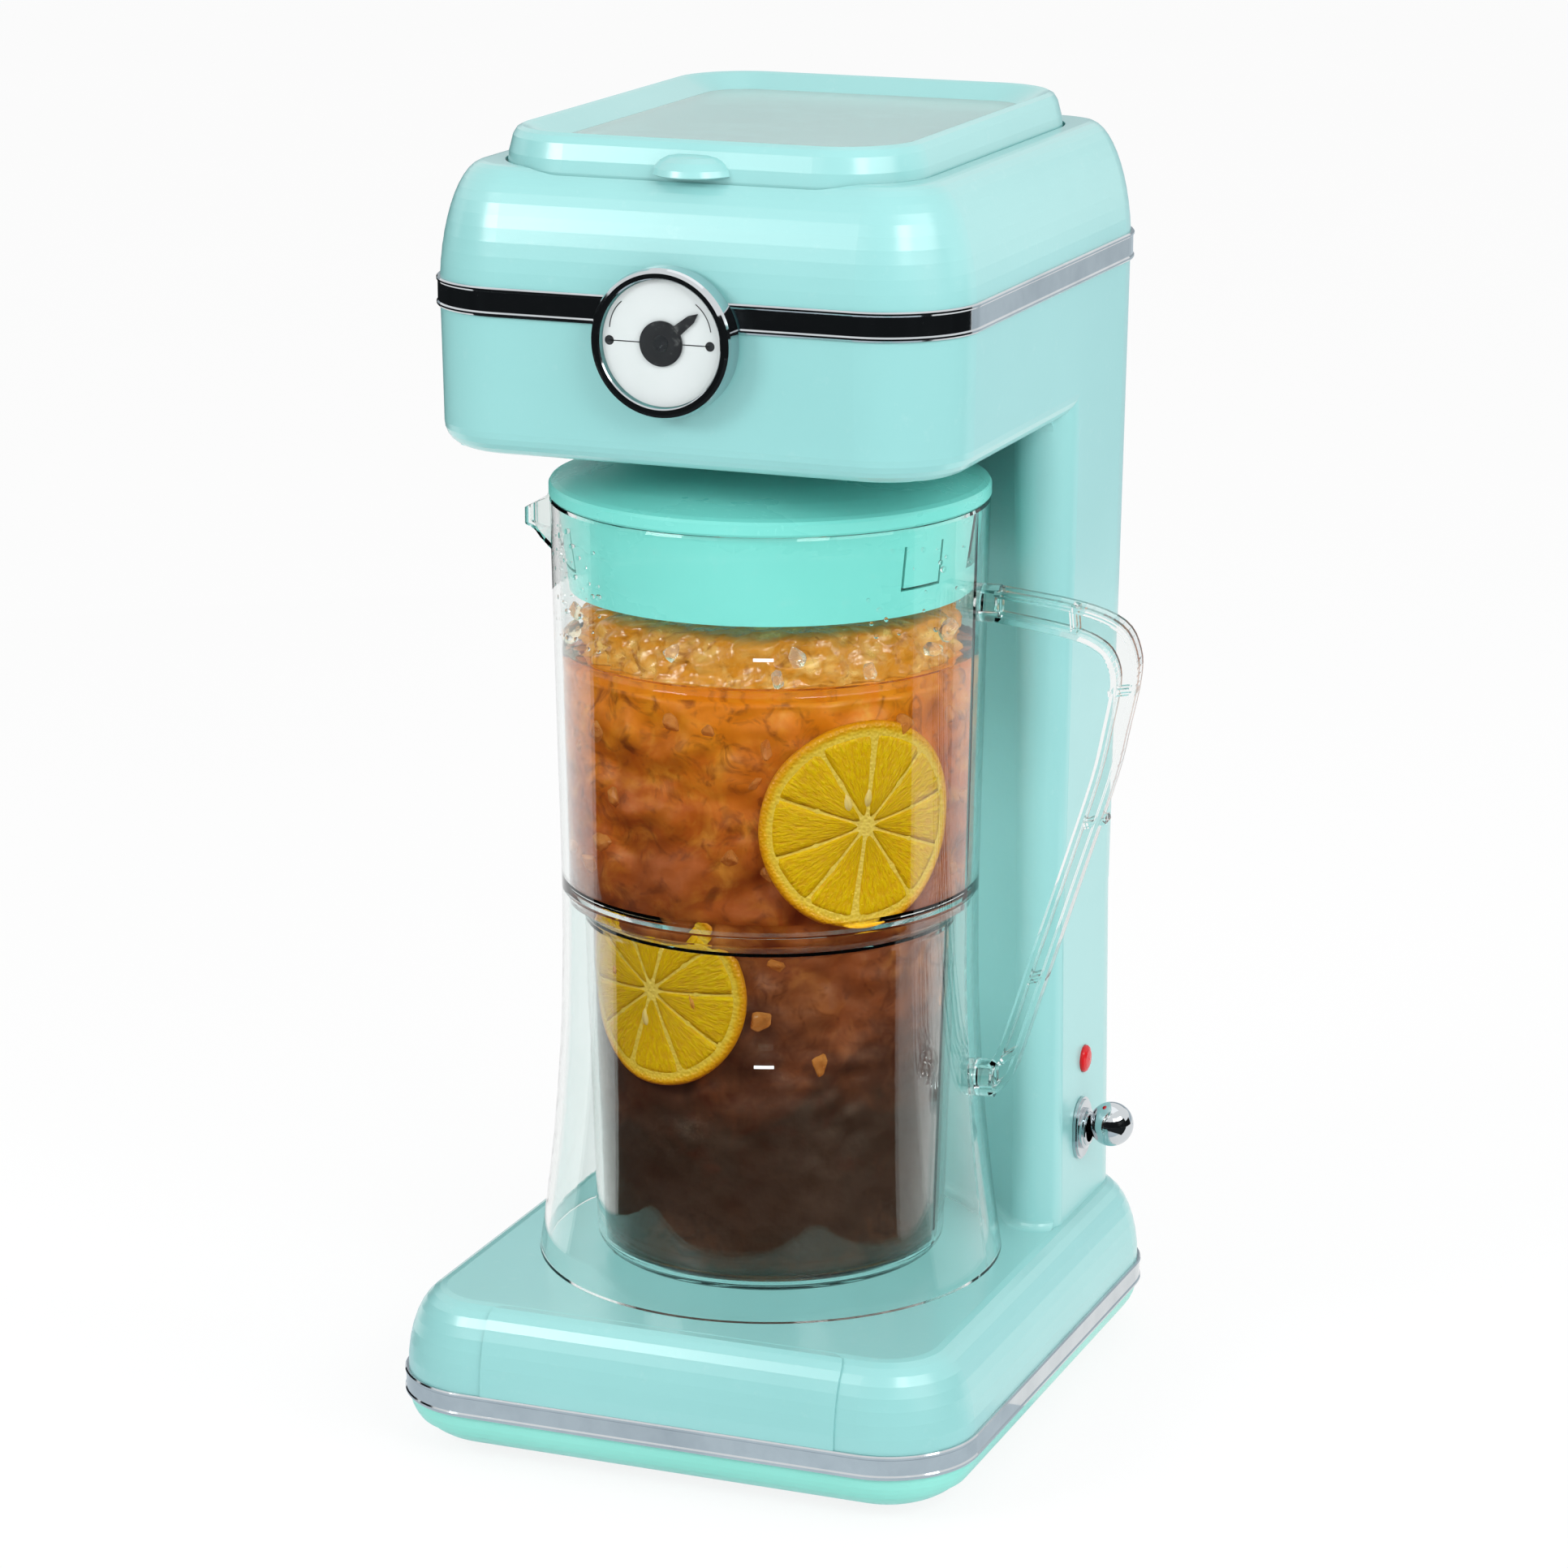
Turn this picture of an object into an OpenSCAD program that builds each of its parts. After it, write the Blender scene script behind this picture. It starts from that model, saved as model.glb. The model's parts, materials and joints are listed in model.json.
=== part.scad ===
// Countertop iced tea maker with a lidded water tank in its head, a hollow column, and a
// clear double-walled pitcher that stands on the base under the head.
// Millimetres. Origin: on the ground, midway between the sides of the base. +Z is up, the
// front faces -Y.

/* [Base] */
// Width of the base over its trim band
base_w = 204; // [190:1:220]
// Distance from the origin to the front of the base band
base_front = 115.4; // [112:0.2:122]
// Distance from the origin to the back of the base band
base_back = 117.5; // [116:0.5:122]
// Plan radius of the base corners
base_corner = 31.7; // [24:0.1:40]
// Height of the surface that the pitcher stands on
base_h = 54; // [50:0.5:62]
// Height of the bottom pan
pan_h = 16; // [13:0.5:18]
// Gap under the pan, left by the feet
pan_gap = 1.5; // [1:0.1:3]
// Height of the base trim band
base_band_h = 8.3; // [6:0.1:10]
// Sideways run of the rounded base shoulder
shoulder_run = 13.5; // [8:0.5:18]
// Width of the bare raised panel on the base front
panel_w = 126; // [90:1:140]
// Radius of a rubber foot
foot_r = 8; // [6:0.5:10]

/* [Head] */
// Width of the head over its trim band
head_w = 184.4; // [180:0.2:190]
// Distance from the origin to the front of the head
head_front = 95.8; // [92:0.2:100]
// Distance from the origin to the back of the head
head_back = 118.5; // [117:0.5:120]
// Plan radius of the head corners
head_corner = 31.3; // [28:0.1:34]
// Height of the underside of the head
head_low = 340; // [338:0.5:346]
// Height of the lower edge of the head trim band
head_band_z = 385.7; // [380:0.1:392]
// Height of the head trim band
head_band_h = 9.4; // [7:0.1:12]
// Height of the top of the domed cover
dome_top = 432; // [428:0.5:438]
// Sideways run of the rounded dome edge
dome_run = 13; // [10:0.5:15]
// Radius of the head's lower edge
head_edge_r = 8; // [5:0.5:9]

/* [Column] */
// Height of the seam between the lower and the upper housing
seam_z = 166; // [150:1:190]
// Plan radius of the column's front edges, measured without draft
nose_r = 13.4; // [11:0.1:15]
// Space between the pitcher's foot and the hollow front of the column, measured without draft
bay_clear = 1.9; // [1:0.1:3]
// Half width of the rear cover
rear_cover_half = 48; // [42:1:52]

/* [Shells] */
// Wall of the moulded shells
wall = 2.5; // [2:0.1:3]
// Thickness of the bright trim bands
trim_t = 1.2; // [0.8:0.1:1.6]
// Mould draft of the head and the upper column in degrees
draft = 0.96; // [0.5:0.05:1.2]

/* [Lid and reservoir] */
// Half width of the water tank
tank_half = 70; // [62:0.5:71]
// Clear bore of the standpipe in the tank
pipe_r = 9; // [7:0.5:10]
// Height that the lid stands above the dome
lid_rise = 11; // [9:0.5:14]
// Half width of the lid
lid_half = 71.3; // [66:0.1:72]
// Plan radius of the lid corners
lid_corner = 29; // [24:0.5:32]
// Distance from the origin to the front of the lid
lid_front = 83; // [80:0.5:84]
// Distance from the origin to the back of the lid
lid_back = 100.5; // [98:0.1:101]
// Width of the sloping inner side of the lid's rim
rim_slope = 10; // [7:0.5:11]
// Gap all round the lid
lid_gap = 0.8; // [0.5:0.1:1.2]

/* [Dial] */
// Outer radius of the dial bezel
bezel_r = 23.8; // [21:0.2:26]
// Height of the dial axis
dial_z = 382.3; // [378:0.1:388]
// How far the dial stands out of the head
dial_proud = 10; // [8:0.5:13]

/* [Switch] */
// Depth position of the switch
switch_y = 61.5; // [58:0.5:72]
// Height of the switch
switch_z = 83.2; // [78:0.5:95]
// Radius of the ball on the lever
ball_r = 7.8; // [6:0.1:9]
// Tilt of the lever at rest in degrees
lever_tilt = 8; // [5:0.5:10]
// Height of the indicator lamp above the switch
lamp_rise = 24.2; // [20:0.2:30]

/* [Pitcher] */
// Depth position of the pitcher's axis
pitcher_y = -11.1; // [-14:0.1:-8]
// Outer radius at the rim
rim_r = 73.3; // [72:0.1:74]
// Outer radius at the weld seam
weld_r = 70.6; // [69.6:0.1:71.6]
// Radius of the flared foot
foot_flare_r = 79.6; // [78:0.1:81]
// Height of the rim
rim_z = 317.5; // [314:0.5:319]
// Height of the weld seam
weld_z = 184; // [176:1:192]
// Outer radius of the inner vessel below the seam
inner_top_r = 63; // [60:0.5:65]
// Outer radius of the inner vessel at its floor
inner_low_r = 59.6; // [56:0.2:60]
// Wall of the clear plastic
clear_wall = 2.4; // [2:0.1:3]
// Reach of the spout past the rim
spout_reach = 12; // [8:0.5:15]
// Direction of the handle, from the right towards the back, in degrees
handle_turn = 7; // [4:0.5:9]
// Reach of the handle from the pitcher's axis
handle_reach = 125; // [118:0.5:130]
// Width of the handle bar
handle_w = 11; // [9:0.5:13]
// Depth of the handle bar
handle_deep = 9.6; // [8:0.2:12]

/* [Brewing] */
// Rise of the pitcher lid's dome
cap_rise = 12; // [9:0.5:13]
// Depth of the brew basket below the rim
basket_deep = 30; // [26:0.5:36]
// Outer radius of the brew basket at its foot
basket_low_r = 67; // [64:0.2:68]

/* [Hidden] */
$fn = 72;

shell_color = [0.72, 0.89, 0.88];
pan_color = [0.55, 0.85, 0.80];
pitcher_lid_color = [0.51, 0.90, 0.87];
bright_color = [0.78, 0.80, 0.82];
clear_color = [0.86, 0.93, 0.92, 0.35];

// Fits
fit = 0.05;
seat = 0.1;
panel_gap = 0.3;

// Base heights
pan_z = pan_gap;
band_z = pan_gap + pan_h;
base_side = trim_t + fit;
base_hw = base_w / 2;
pan_floor = pan_z + 2.2;

// Head and column plan
head_hw = head_w / 2;
head_step = trim_t + fit;
low_draft = 0.5;
nose_slim = 0.04;
bay_r = foot_flare_r + bay_clear;
nose_x = head_hw - nose_r;
nose_y = pitcher_y + sqrt(pow(bay_r + nose_r, 2) - pow(nose_x, 2));
nose_angle = atan2(nose_y - pitcher_y, nose_x);
split_z = head_band_z + head_band_h / 2;

function head_inset(z) = head_step + max(0, head_band_z - z) * tan(draft);
function reverse(v) = [for (i = [len(v) - 1 : -1 : 0]) v[i]];
function foot_inset(z) = head_inset(seam_z) + 0.15 - (seam_z - z) * tan(low_draft);

// Rounded rectangle with true arcs, from y0 to y1, drawn in by inset
module round_box(hw, y0, y1, r, inset = 0) {
    w = hw - inset;
    a = y0 + inset;
    b = y1 - inset;
    c = max(r - inset, 0.6);
    translate([-w, a + c]) square([2 * w, b - a - 2 * c]);
    translate([-w + c, a]) square([2 * (w - c), b - a]);
    for (x = [-w + c, w - c], y = [a + c, b - c]) translate([x, y]) circle(c);
}

// The child is a profile in (offset, height): offset 0 is the outline and negative is inside it.
// One straight stretch of a sweep from p to q, with the outline's outside on the right
module sweep_line(p, q) {
    d = q - p;
    translate([q.x, q.y, 0]) rotate([0, 0, atan2(d.y, d.x) - 90]) rotate([90, 0, 0])
        linear_extrude(norm(d)) children();
}

// One arc of a sweep about c; a hollow arc has its outside towards c
module sweep_arc(c, r, a0, a1, hollow = false) {
    translate([c.x, c.y, 0]) rotate([0, 0, a0]) rotate_extrude(angle = a1 - a0)
        translate([r, 0]) mirror([hollow ? 1 : 0, 0]) children();
}

// Sweep round a whole rounded rectangle
module sweep_box(hw, y0, y1, r) {
    sweep_arc([hw - r, y1 - r], r, 0, 90) children();
    sweep_arc([r - hw, y1 - r], r, 90, 180) children();
    sweep_arc([r - hw, y0 + r], r, 180, 270) children();
    sweep_arc([hw - r, y0 + r], r, 270, 360) children();
    sweep_line([hw, y0 + r], [hw, y1 - r]) children();
    sweep_line([hw - r, y1], [r - hw, y1]) children();
    sweep_line([-hw, y1 - r], [-hw, y0 + r]) children();
    sweep_line([r - hw, y0], [hw - r, y0]) children();
}

// Sides and back of the column, as one run of the head's outline
module sweep_back() {
    c = head_corner;
    sweep_arc([head_hw - c, head_back - c], c, 0, 90) children();
    sweep_arc([c - head_hw, head_back - c], c, 90, 180) children();
    sweep_line([head_hw, nose_y], [head_hw, head_back - c]) children();
    sweep_line([head_hw - c, head_back], [c - head_hw, head_back]) children();
    sweep_line([-head_hw, head_back - c], [-head_hw, nose_y]) children();
}

// Front of the column: two rounded edges and the hollow between them that follows the pitcher.
// The rounded edges are drawn slimmer by nose_slim, so that their ends sink into their neighbours
module sweep_noses() {
    sweep_arc([nose_x, nose_y], nose_r, 178.8 + nose_angle, 361.4) children();
    sweep_arc([-nose_x, nose_y], nose_r, 178.6, 361.2 - nose_angle) children();
}

module sweep_hollow() {
    sweep_arc([0, pitcher_y], bay_r, nose_angle, 180 - nose_angle, true) children();
}

// Front and sides of the head, forward of the column
module sweep_front() {
    c = head_corner;
    y0 = -head_front;
    sweep_arc([c - head_hw, y0 + c], c, 180, 270) children();
    sweep_arc([head_hw - c, y0 + c], c, 270, 360) children();
    sweep_line([head_hw, y0 + c], [head_hw, nose_y]) children();
    sweep_line([-head_hw, nose_y], [-head_hw, y0 + c]) children();
    sweep_line([c - head_hw, y0], [head_hw - c, y0]) children();
}

// Plan of the column, drawn in by inset
module column_plan(inset) {
    difference() {
        union() {
            polygon([[nose_x, nose_y], [0, pitcher_y], [-nose_x, nose_y],
                [-nose_x, nose_y + 1], [nose_x, nose_y + 1]]);
            for (s = [-1, 1]) translate([s * nose_x, nose_y]) circle(nose_r - inset);
            w = head_hw - inset;
            b = head_back - inset;
            c = head_corner - inset;
            translate([-w, nose_y]) square([2 * w, b - c - nose_y]);
            translate([c - w, nose_y]) square([2 * (w - c), b - nose_y]);
            for (s = [-1, 1]) translate([s * (w - c), b - c]) circle(c);
        }
        translate([0, pitcher_y]) circle(bay_r + inset);
    }
}

// Quarter round from (-start, z0), rising by rise while it draws in by run and by lean
function quarter(start, z0, run, rise, lean = 0, steps = 9) =
    [for (k = [0 : steps]) let (a = 90 * k / steps)
        [-start - lean * sin(a) - run * (1 - cos(a)), z0 + rise * sin(a)]];

// A cross-head screw along +Z: its head ends at z = 0 and its shank runs up from there
module screw(length, shank_r, head_r, head_t) {
    difference() {
        translate([0, 0, -head_t]) cylinder(h = head_t, r1 = head_r * 0.8, r2 = head_r);
        for (a = [0, 90]) rotate(a) translate([-head_r * 0.5, -0.35, -head_t - 0.1])
            cube([head_r, 0.7, head_t * 0.6]);
    }
    cylinder(h = length, r = shank_r);
}

// Shared places in the base
band_top = band_z + base_band_h;
boss_r = 4.5;
screw_r = 1.45;
boss_in = base_corner + 2;
base_bosses = [for (s = [-1, 1], y = [boss_in - base_front, base_back - boss_in])
    [s * (base_hw - boss_in), y]];
foot_in = base_corner + 18;
foot_spots = [for (s = [-1, 1], y = [foot_in - 14 - base_front, base_back - foot_in + 14])
    [s * (base_hw - foot_in), y]];
column_low = base_h - wall;

// Heater and water path
heater_z = pan_floor + 12.5;
heater_r = 6.5;
hose_r = 6;
hose_bore = 4.2;
hose_bend = 14;
inlet_x = -30;
riser_x = 30;
heater_end_y = 60;
heater_turn_y = 30;
inlet_y = heater_end_y + hose_bend + 9;
riser_y = head_back - 17;

// Switch and lamp on the right wall of the lower column
switch_wall = head_hw - foot_inset(switch_z);
switch_hole_r = 6.6;
lamp_y = switch_y + 4;
lamp_z = switch_z + lamp_rise;
lamp_wall = head_hw - foot_inset(lamp_z);
lamp_r = 4.8;
switch_face = head_hw - foot_inset(switch_z - 12);
pivot_x = switch_face - 8;
lever_reach = 19.6;

// Mains gland at the back
gland_x = 66;
gland_z = band_top + 8.5;
gland_r = 6;

// Rear cover
rear_low = base_h + 8;
rear_high = head_low - 12;
ledge_t = 2;
ledge_half = 8.5;
rear_screw_x = rear_cover_half - 4;
rear_screw_low = [rear_low + 9, seam_z - 16];
rear_screw_high = [seam_z + 50, rear_high - 9];

// Reservoir
tank_low = head_low + 12;
tank_front = head_front - 19.8;
tank_back = head_back - 25;
tank_corner = 24;
tank_wall = 2;
tank_top = dome_top - wall - 0.4;
tank_flange = 3;
pipe_top = tank_top - 16;
arm_r = 4.5;
arm_z = pipe_top + arm_r + 0.3;

// Head fasteners
cover_boss = [for (s = [-1, 1], y = [16.5 - head_front, head_back - 16.5]) [s * (head_hw - 17), y]];
cover_screw_z = split_z - 8;

// Lid
lid_top = dome_top + lid_rise;
lid_low = tank_top + 0.3;
lid_floor = lid_top - 5;
lid_t = 2;
lid_crest = 4.8;
lid_slope_in = lid_crest + rim_slope;
lid_ledge = lid_slope_in + 4;
hinge_y = lid_back + 5.5;
hinge_z = dome_top + 3.7;
hinge_x = 42;
knuckle_r = 3.2;
knuckle_w = 16;
ear_w = 4;
pin_r = 1.5;
tab_r = 14;

// Dial
dial_wall = head_front - head_step;
dial_rim = head_front + dial_proud - 1.2;
dial_seat_z = dial_rim - 3.4;
shaft_r = 2.5;
pointer_angle = 39;
face_r = bezel_r - 3.7;
dial_hub_r = 8;

// Pitcher
foot_z = base_h + seat;
flare_z = weld_z - 14;
vessel_low = foot_z + 2.5;
boss_high_z = 284.3;
boss_low_z = 119.7;
flange_z = rim_z + 0.2;
cap_r = rim_r + 0.2;
well_r = 20;
cap_t = 2.2;
cap_top = flange_z + 5 + cap_rise;
basket_wall = 2;
basket_z = rim_z - basket_deep;
basket_top_r = rim_r - clear_wall - 0.5;
shower_r = pipe_r + 9;

function upper_r(z) = weld_r + (rim_r - weld_r) * (z - weld_z) / (rim_z - weld_z);
function skirt_r(z) = weld_r
    + (foot_flare_r - weld_r) * pow(max(0, flare_z - z) / (flare_z - foot_z), 2);

// Wall sections of the column between two heights, thinned by slim on both faces
function wall_section(i0, z0, i1, z1, slim) = [[-i0 - slim, z0], [-i1 - slim, z1],
    [-i1 - wall + slim, z1], [-i0 - wall + slim, z0]];
function low_wall(z0, z1, slim = 0) = wall_section(foot_inset(z0), z0, foot_inset(z1), z1, slim);
function high_wall(z0, z1, slim = 0) = wall_section(head_inset(z0), z0, head_inset(z1), z1, slim);

// Depth of a rear screw's head below the back of the head band
function rear_depth(z) = (z < seam_z ? foot_inset(z) : head_inset(z)) + wall - 1;

// Small hollow fillet where the column leaves the base
function foot_fillet(f) = let (u = -foot_inset(base_h + f))
    concat([[u - 0.6, base_h - 1], [u - 0.6, base_h + f], [u - 0.05, base_h + f]],
        [for (a = [18 : 18 : 90]) [u + f - f * cos(a), base_h + f - f * sin(a)]],
        [[u + f, base_h - 1]]);

// Bright band: a flat strip with a rolled lip at each edge
function band(z0, h) = [[-trim_t, z0], [-0.4, z0], [0, z0 + 0.5], [0, z0 + 1.1], [-0.4, z0 + 1.6],
    [-0.4, z0 + h - 1.6], [0, z0 + h - 1.1], [0, z0 + h - 0.5], [-0.4, z0 + h], [-trim_t, z0 + h]];

module along_y(p) {
    translate(p) rotate([90, 0, 0]) children();
}

module along_x(p) {
    translate(p) rotate([0, 90, 0]) children();
}

// Opening for the rear cover, grown by a gap
module rear_opening(gap) {
    translate([-rear_cover_half - gap, head_back - 12, rear_low - gap])
        cube([2 * (rear_cover_half + gap), 24, rear_high - rear_low + 2 * gap]);
}

// Ledges inside the back wall that carry the rear cover, each with a root in the wall
module rear_ledges(z0, z1, i0, i1) {
    for (s = [-1, 1], k = [0, 1]) {
        edge = rear_cover_half + panel_gap + 0.7;
        a = s * (rear_screw_x + ledge_half);
        b = s * (k == 0 ? rear_screw_x - ledge_half : edge);
        sweep_line([max(a, b), head_back], [min(a, b), head_back])
            polygon([[k - i0 - wall, z0], [k - i1 - wall, z1], [-i1 - wall - ledge_t, z1],
                [-i0 - wall - ledge_t, z0]]);
    }
}

module rear_bosses(spots) {
    for (s = [-1, 1], z = spots) {
        inset = z < seam_z ? foot_inset(z) : head_inset(z);
        along_y([s * rear_screw_x, head_back - inset - wall - 0.6, z])
            cylinder(h = 9.4, r = boss_r - 0.7, $fn = 32);
    }
}

module rear_pilots(spots) {
    for (s = [-1, 1], z = spots) along_y([s * rear_screw_x, head_back + 1, z])
        cylinder(h = 16.5, r = screw_r + fit, $fn = 32);
}

// Bare raised panel on the front of the base
module front_panel() {
    rise = 0.6;
    run = base_h - band_top;
    intersection() {
        sweep_line([-panel_w / 2 - 1, -base_front], [panel_w / 2 + 1, -base_front])
            polygon(concat(quarter(base_side - rise, band_top, shoulder_run, run + rise),
                [[-base_side - shoulder_run - 6, base_h + rise],
                 [-base_side - shoulder_run - 6, base_h - 1]],
                reverse(quarter(base_side + 1, band_top, shoulder_run, run - 1))));
        translate([0, -base_front, band_top - 1]) linear_extrude(base_h - band_top + 0.9)
            round_box(panel_w / 2, -20, shoulder_run + 1, 7);
    }
}

module base_shell() {
    c = base_corner;
    skin = concat([[-base_side, band_z]],
        quarter(base_side, band_top, shoulder_run, base_h - band_top),
        [[1 - c, base_h], [1 - c, column_low]],
        reverse(quarter(base_side + wall, band_top, shoulder_run, column_low - band_top)),
        [[-base_side - wall, band_z]]);
    difference() {
        union() {
            sweep_box(base_hw, -base_front, base_back, c) polygon(skin);
            translate([0, 0, column_low]) linear_extrude(wall)
                round_box(base_hw, -base_front, base_back, c, c - 3);
            front_panel();
        }
        translate([0, 0, column_low - 1]) linear_extrude(wall + 2)
            column_plan(foot_inset(base_h) + wall / 2);
    }
}

module base_housing() color(shell_color) difference() {
    union() {
        difference() {
            union() {
                base_shell();
                sweep_back() polygon(low_wall(base_h - 16, seam_z));
                sweep_noses() polygon(low_wall(column_low, seam_z, nose_slim));
                sweep_hollow() polygon(low_wall(column_low, seam_z));
                intersection() {
                    union() {
                        sweep_noses() polygon(foot_fillet(3 - nose_slim));
                        sweep_hollow() polygon(foot_fillet(3));
                    }
                    translate([0, 0, base_h - 6]) linear_extrude(20) round_box(base_hw, -base_front,
                        base_back, base_corner, base_side + shoulder_run + 0.4);
                }
            }
            rear_opening(panel_gap);
        }
        rear_ledges(rear_low - 4, seam_z - 1, foot_inset(rear_low - 4), foot_inset(seam_z - 1));
        rear_bosses(rear_screw_low);
        for (p = base_bosses) translate([p.x, p.y, pan_floor + seat])
            cylinder(h = column_low - pan_floor + 1, r = boss_r);
        for (p = base_bosses) if (p.y > 0) translate([p.x > 0 ? p.x : -switch_wall + 1, p.y - 1, base_h - 14])
            cube([switch_wall - 1 - abs(p.x), 2, 12]);
        along_y([gland_x, base_back - base_side, gland_z]) cylinder(h = 5, r = gland_r + 3.5);
    }
    rear_pilots(rear_screw_low);
    for (p = base_bosses) translate([p.x, p.y, pan_floor - 1]) cylinder(h = 16, r = screw_r + fit);
    along_x([switch_wall - 8, switch_y, switch_z]) cylinder(h = 16, r = switch_hole_r);
    along_x([lamp_wall - 8, lamp_y, lamp_z]) cylinder(h = 16, r = lamp_r + seat);
    along_y([gland_x, base_back + 4, gland_z]) cylinder(h = 20, r = gland_r + fit);
    for (x = [inlet_x, riser_x]) translate([x, riser_y, column_low - 9])
        cylinder(h = 14, r = hose_r + 0.7, $fn = 32);
}

// Bottom pan, drawn in below the band in three stepped ridges
module base_pan() color(pan_color) {
    run = 22;
    curve = [for (k = [0 : 2], j = [0 : 4]) let (a = 30 * k + 7.5 * j)
        [-base_side - 0.3 - 0.9 * k - run * (1 - cos(a)), band_z - pan_h * sin(a)]];
    inner = [for (k = [0 : 8]) let (a = 90 - 10 * k)
        [-base_side - 4.6 - run * (1 - cos(a)), band_z - (pan_h - 2.2) * sin(a)]];
    c = base_corner;
    difference() {
        union() {
            sweep_box(base_hw, -base_front, base_back, c)
                polygon(concat(curve, [[1 - c, pan_z], [1 - c, pan_floor]],
                    inner, [[-base_side - 4.6, band_z]]));
            translate([0, 0, pan_z]) linear_extrude(pan_floor - pan_z)
                round_box(base_hw, -base_front, base_back, c, c - 3);
            for (p = [[inlet_x, heater_end_y - 12], [riser_x, heater_end_y - 12],
                [0, heater_turn_y - riser_x]]) translate([p.x, p.y, pan_floor - 0.5])
                cylinder(h = heater_z - heater_r - pan_floor + 0.5, r = 4);
        }
        for (p = base_bosses) translate([p.x, p.y, pan_z - 1]) {
            cylinder(h = 6, r = screw_r + 0.25);
            cylinder(h = 2.4, r = 3.5);
        }
        for (p = foot_spots) translate([p.x, p.y, pan_z - 1]) cylinder(h = 6, r = foot_r * 0.4);
        for (k = [-4 : 4]) translate([k * 7 - 1.5, -30, pan_z - 1]) cube([3, 26, 6]);
    }
}

module base_trim() color(bright_color) sweep_box(base_hw, -base_front, base_back, base_corner)
    polygon(band(band_z, base_band_h));

module base_feet() color([0.16, 0.17, 0.17]) for (p = foot_spots) translate([p.x, p.y, 0])
    rotate_extrude() polygon([[0, 0], [foot_r - 1, 0], [foot_r, 1], [foot_r, pan_z - 0.02],
        [foot_r * 0.4 - fit, pan_z - 0.02], [foot_r * 0.4 - fit, pan_floor], [foot_r * 0.4 + 0.8,
        pan_floor + 0.6], [foot_r * 0.4 - 0.8, pan_floor + 2.4], [0, pan_floor + 2.4]]);

module pan_screws() color(bright_color) for (p = base_bosses) translate([p.x, p.y, pan_z + 1.4 - seat])
    screw(13, screw_r, 3.1, 1.2);

// Water tube and heating rod cast side by side into one aluminium U
module heater() color([0.70, 0.71, 0.72]) {
    leg = heater_end_y - heater_turn_y;
    difference() {
        union() {
            translate([0, heater_turn_y, heater_z]) rotate([0, 0, 180]) rotate_extrude(angle = 180)
                heater_section(riser_x);
            for (s = [0, 1]) translate([0, heater_turn_y, heater_z]) mirror([s, 0, 0])
                rotate([90, 0, 180]) linear_extrude(leg) mirror([1, 0]) heater_section(riser_x);
            translate([0, heater_turn_y - riser_x, heater_z]) cylinder(h = heater_r + 0.6, r = 8);
        }
        translate([0, heater_turn_y, heater_z]) rotate([0, 0, 180]) rotate_extrude(angle = 180)
            translate([riser_x, 0]) circle(3.6);
        for (x = [inlet_x, riser_x]) along_y([x, heater_end_y + 1, heater_z])
            cylinder(h = leg + 1.01, r = 3.6);
    }
    for (x = [inlet_x, riser_x]) along_y([x, heater_end_y + 8, heater_z]) difference() {
        cylinder(h = 20, r = hose_bore - fit);
        translate([0, 0, -1]) cylinder(h = 22, r = 3);
    }
    for (x = [inlet_x + 11.5, riser_x - 11.5]) along_y([x, heater_end_y + 8, heater_z])
        cylinder(h = 10, r = 1.6);
}

module heater_section(x) {
    translate([x, 0]) circle(heater_r);
    translate([x - 11.5, 0]) circle(4.8);
    translate([x - 10, -2.6]) square([6, 5.2]);
}

// Thermostat button and thermal fuse clipped on the bend of the heater
module thermostat() color([0.25, 0.25, 0.26]) {
    translate([0, heater_turn_y - riser_x, heater_z + heater_r + 0.6]) thermostat_shape();
}

module thermostat_shape() {
    cylinder(h = 1.2, r = 9);
    cylinder(h = 6, r = 7.5);
    for (s = [-1, 1]) translate([s * 5 - 1.6, -0.4, 6]) cube([3.2, 0.8, 7]);
    for (s = [-1, 1]) translate([s * 9, 0, 0]) difference() {
        cylinder(h = 1.2, r = 4);
        translate([0, 0, -1]) cylinder(h = 4, r = 1.6);
    }
}

// A silicone hose: level out of the heater, one bend, then straight up the column
module hose(x, y, top) color([0.90, 0.90, 0.88]) {
    difference() {
        union() {
            along_y([x, y - hose_bend, heater_z])
                cylinder(h = y - hose_bend - heater_end_y - seat + 0.01, r = hose_r);
            translate([x, y - hose_bend, heater_z + hose_bend]) rotate([0, 90, 0])
                rotate_extrude(angle = 90) translate([hose_bend, 0]) circle(hose_r);
            translate([x, y, heater_z + hose_bend]) cylinder(h = top - heater_z - hose_bend, r = hose_r);
        }
        along_y([x, y - hose_bend, heater_z]) cylinder(h = y - heater_end_y, r = hose_bore);
        translate([x, y - hose_bend, heater_z + hose_bend]) rotate([0, 90, 0])
            rotate_extrude(angle = 90) translate([hose_bend, 0]) circle(hose_bore);
        translate([x, y, heater_z + hose_bend]) cylinder(h = top, r = hose_bore);
    }
}

module inlet_hose() hose(inlet_x, inlet_y, tank_low - 2 - seat);

module riser_hose() hose(riser_x, riser_y, arm_z - arm_r - 2);

// Spring clips that grip the hose ends
module hose_clips() color([0.62, 0.64, 0.66]) {
    translate([inlet_x, inlet_y, tank_low - 9]) hose_clip();
    translate([riser_x, riser_y, arm_z - arm_r - 10]) rotate(90) hose_clip();
    for (x = [inlet_x, riser_x]) along_y([x, heater_end_y + 6.5, heater_z])
        rotate(x < 0 ? -90 : 90) hose_clip();
}

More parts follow.
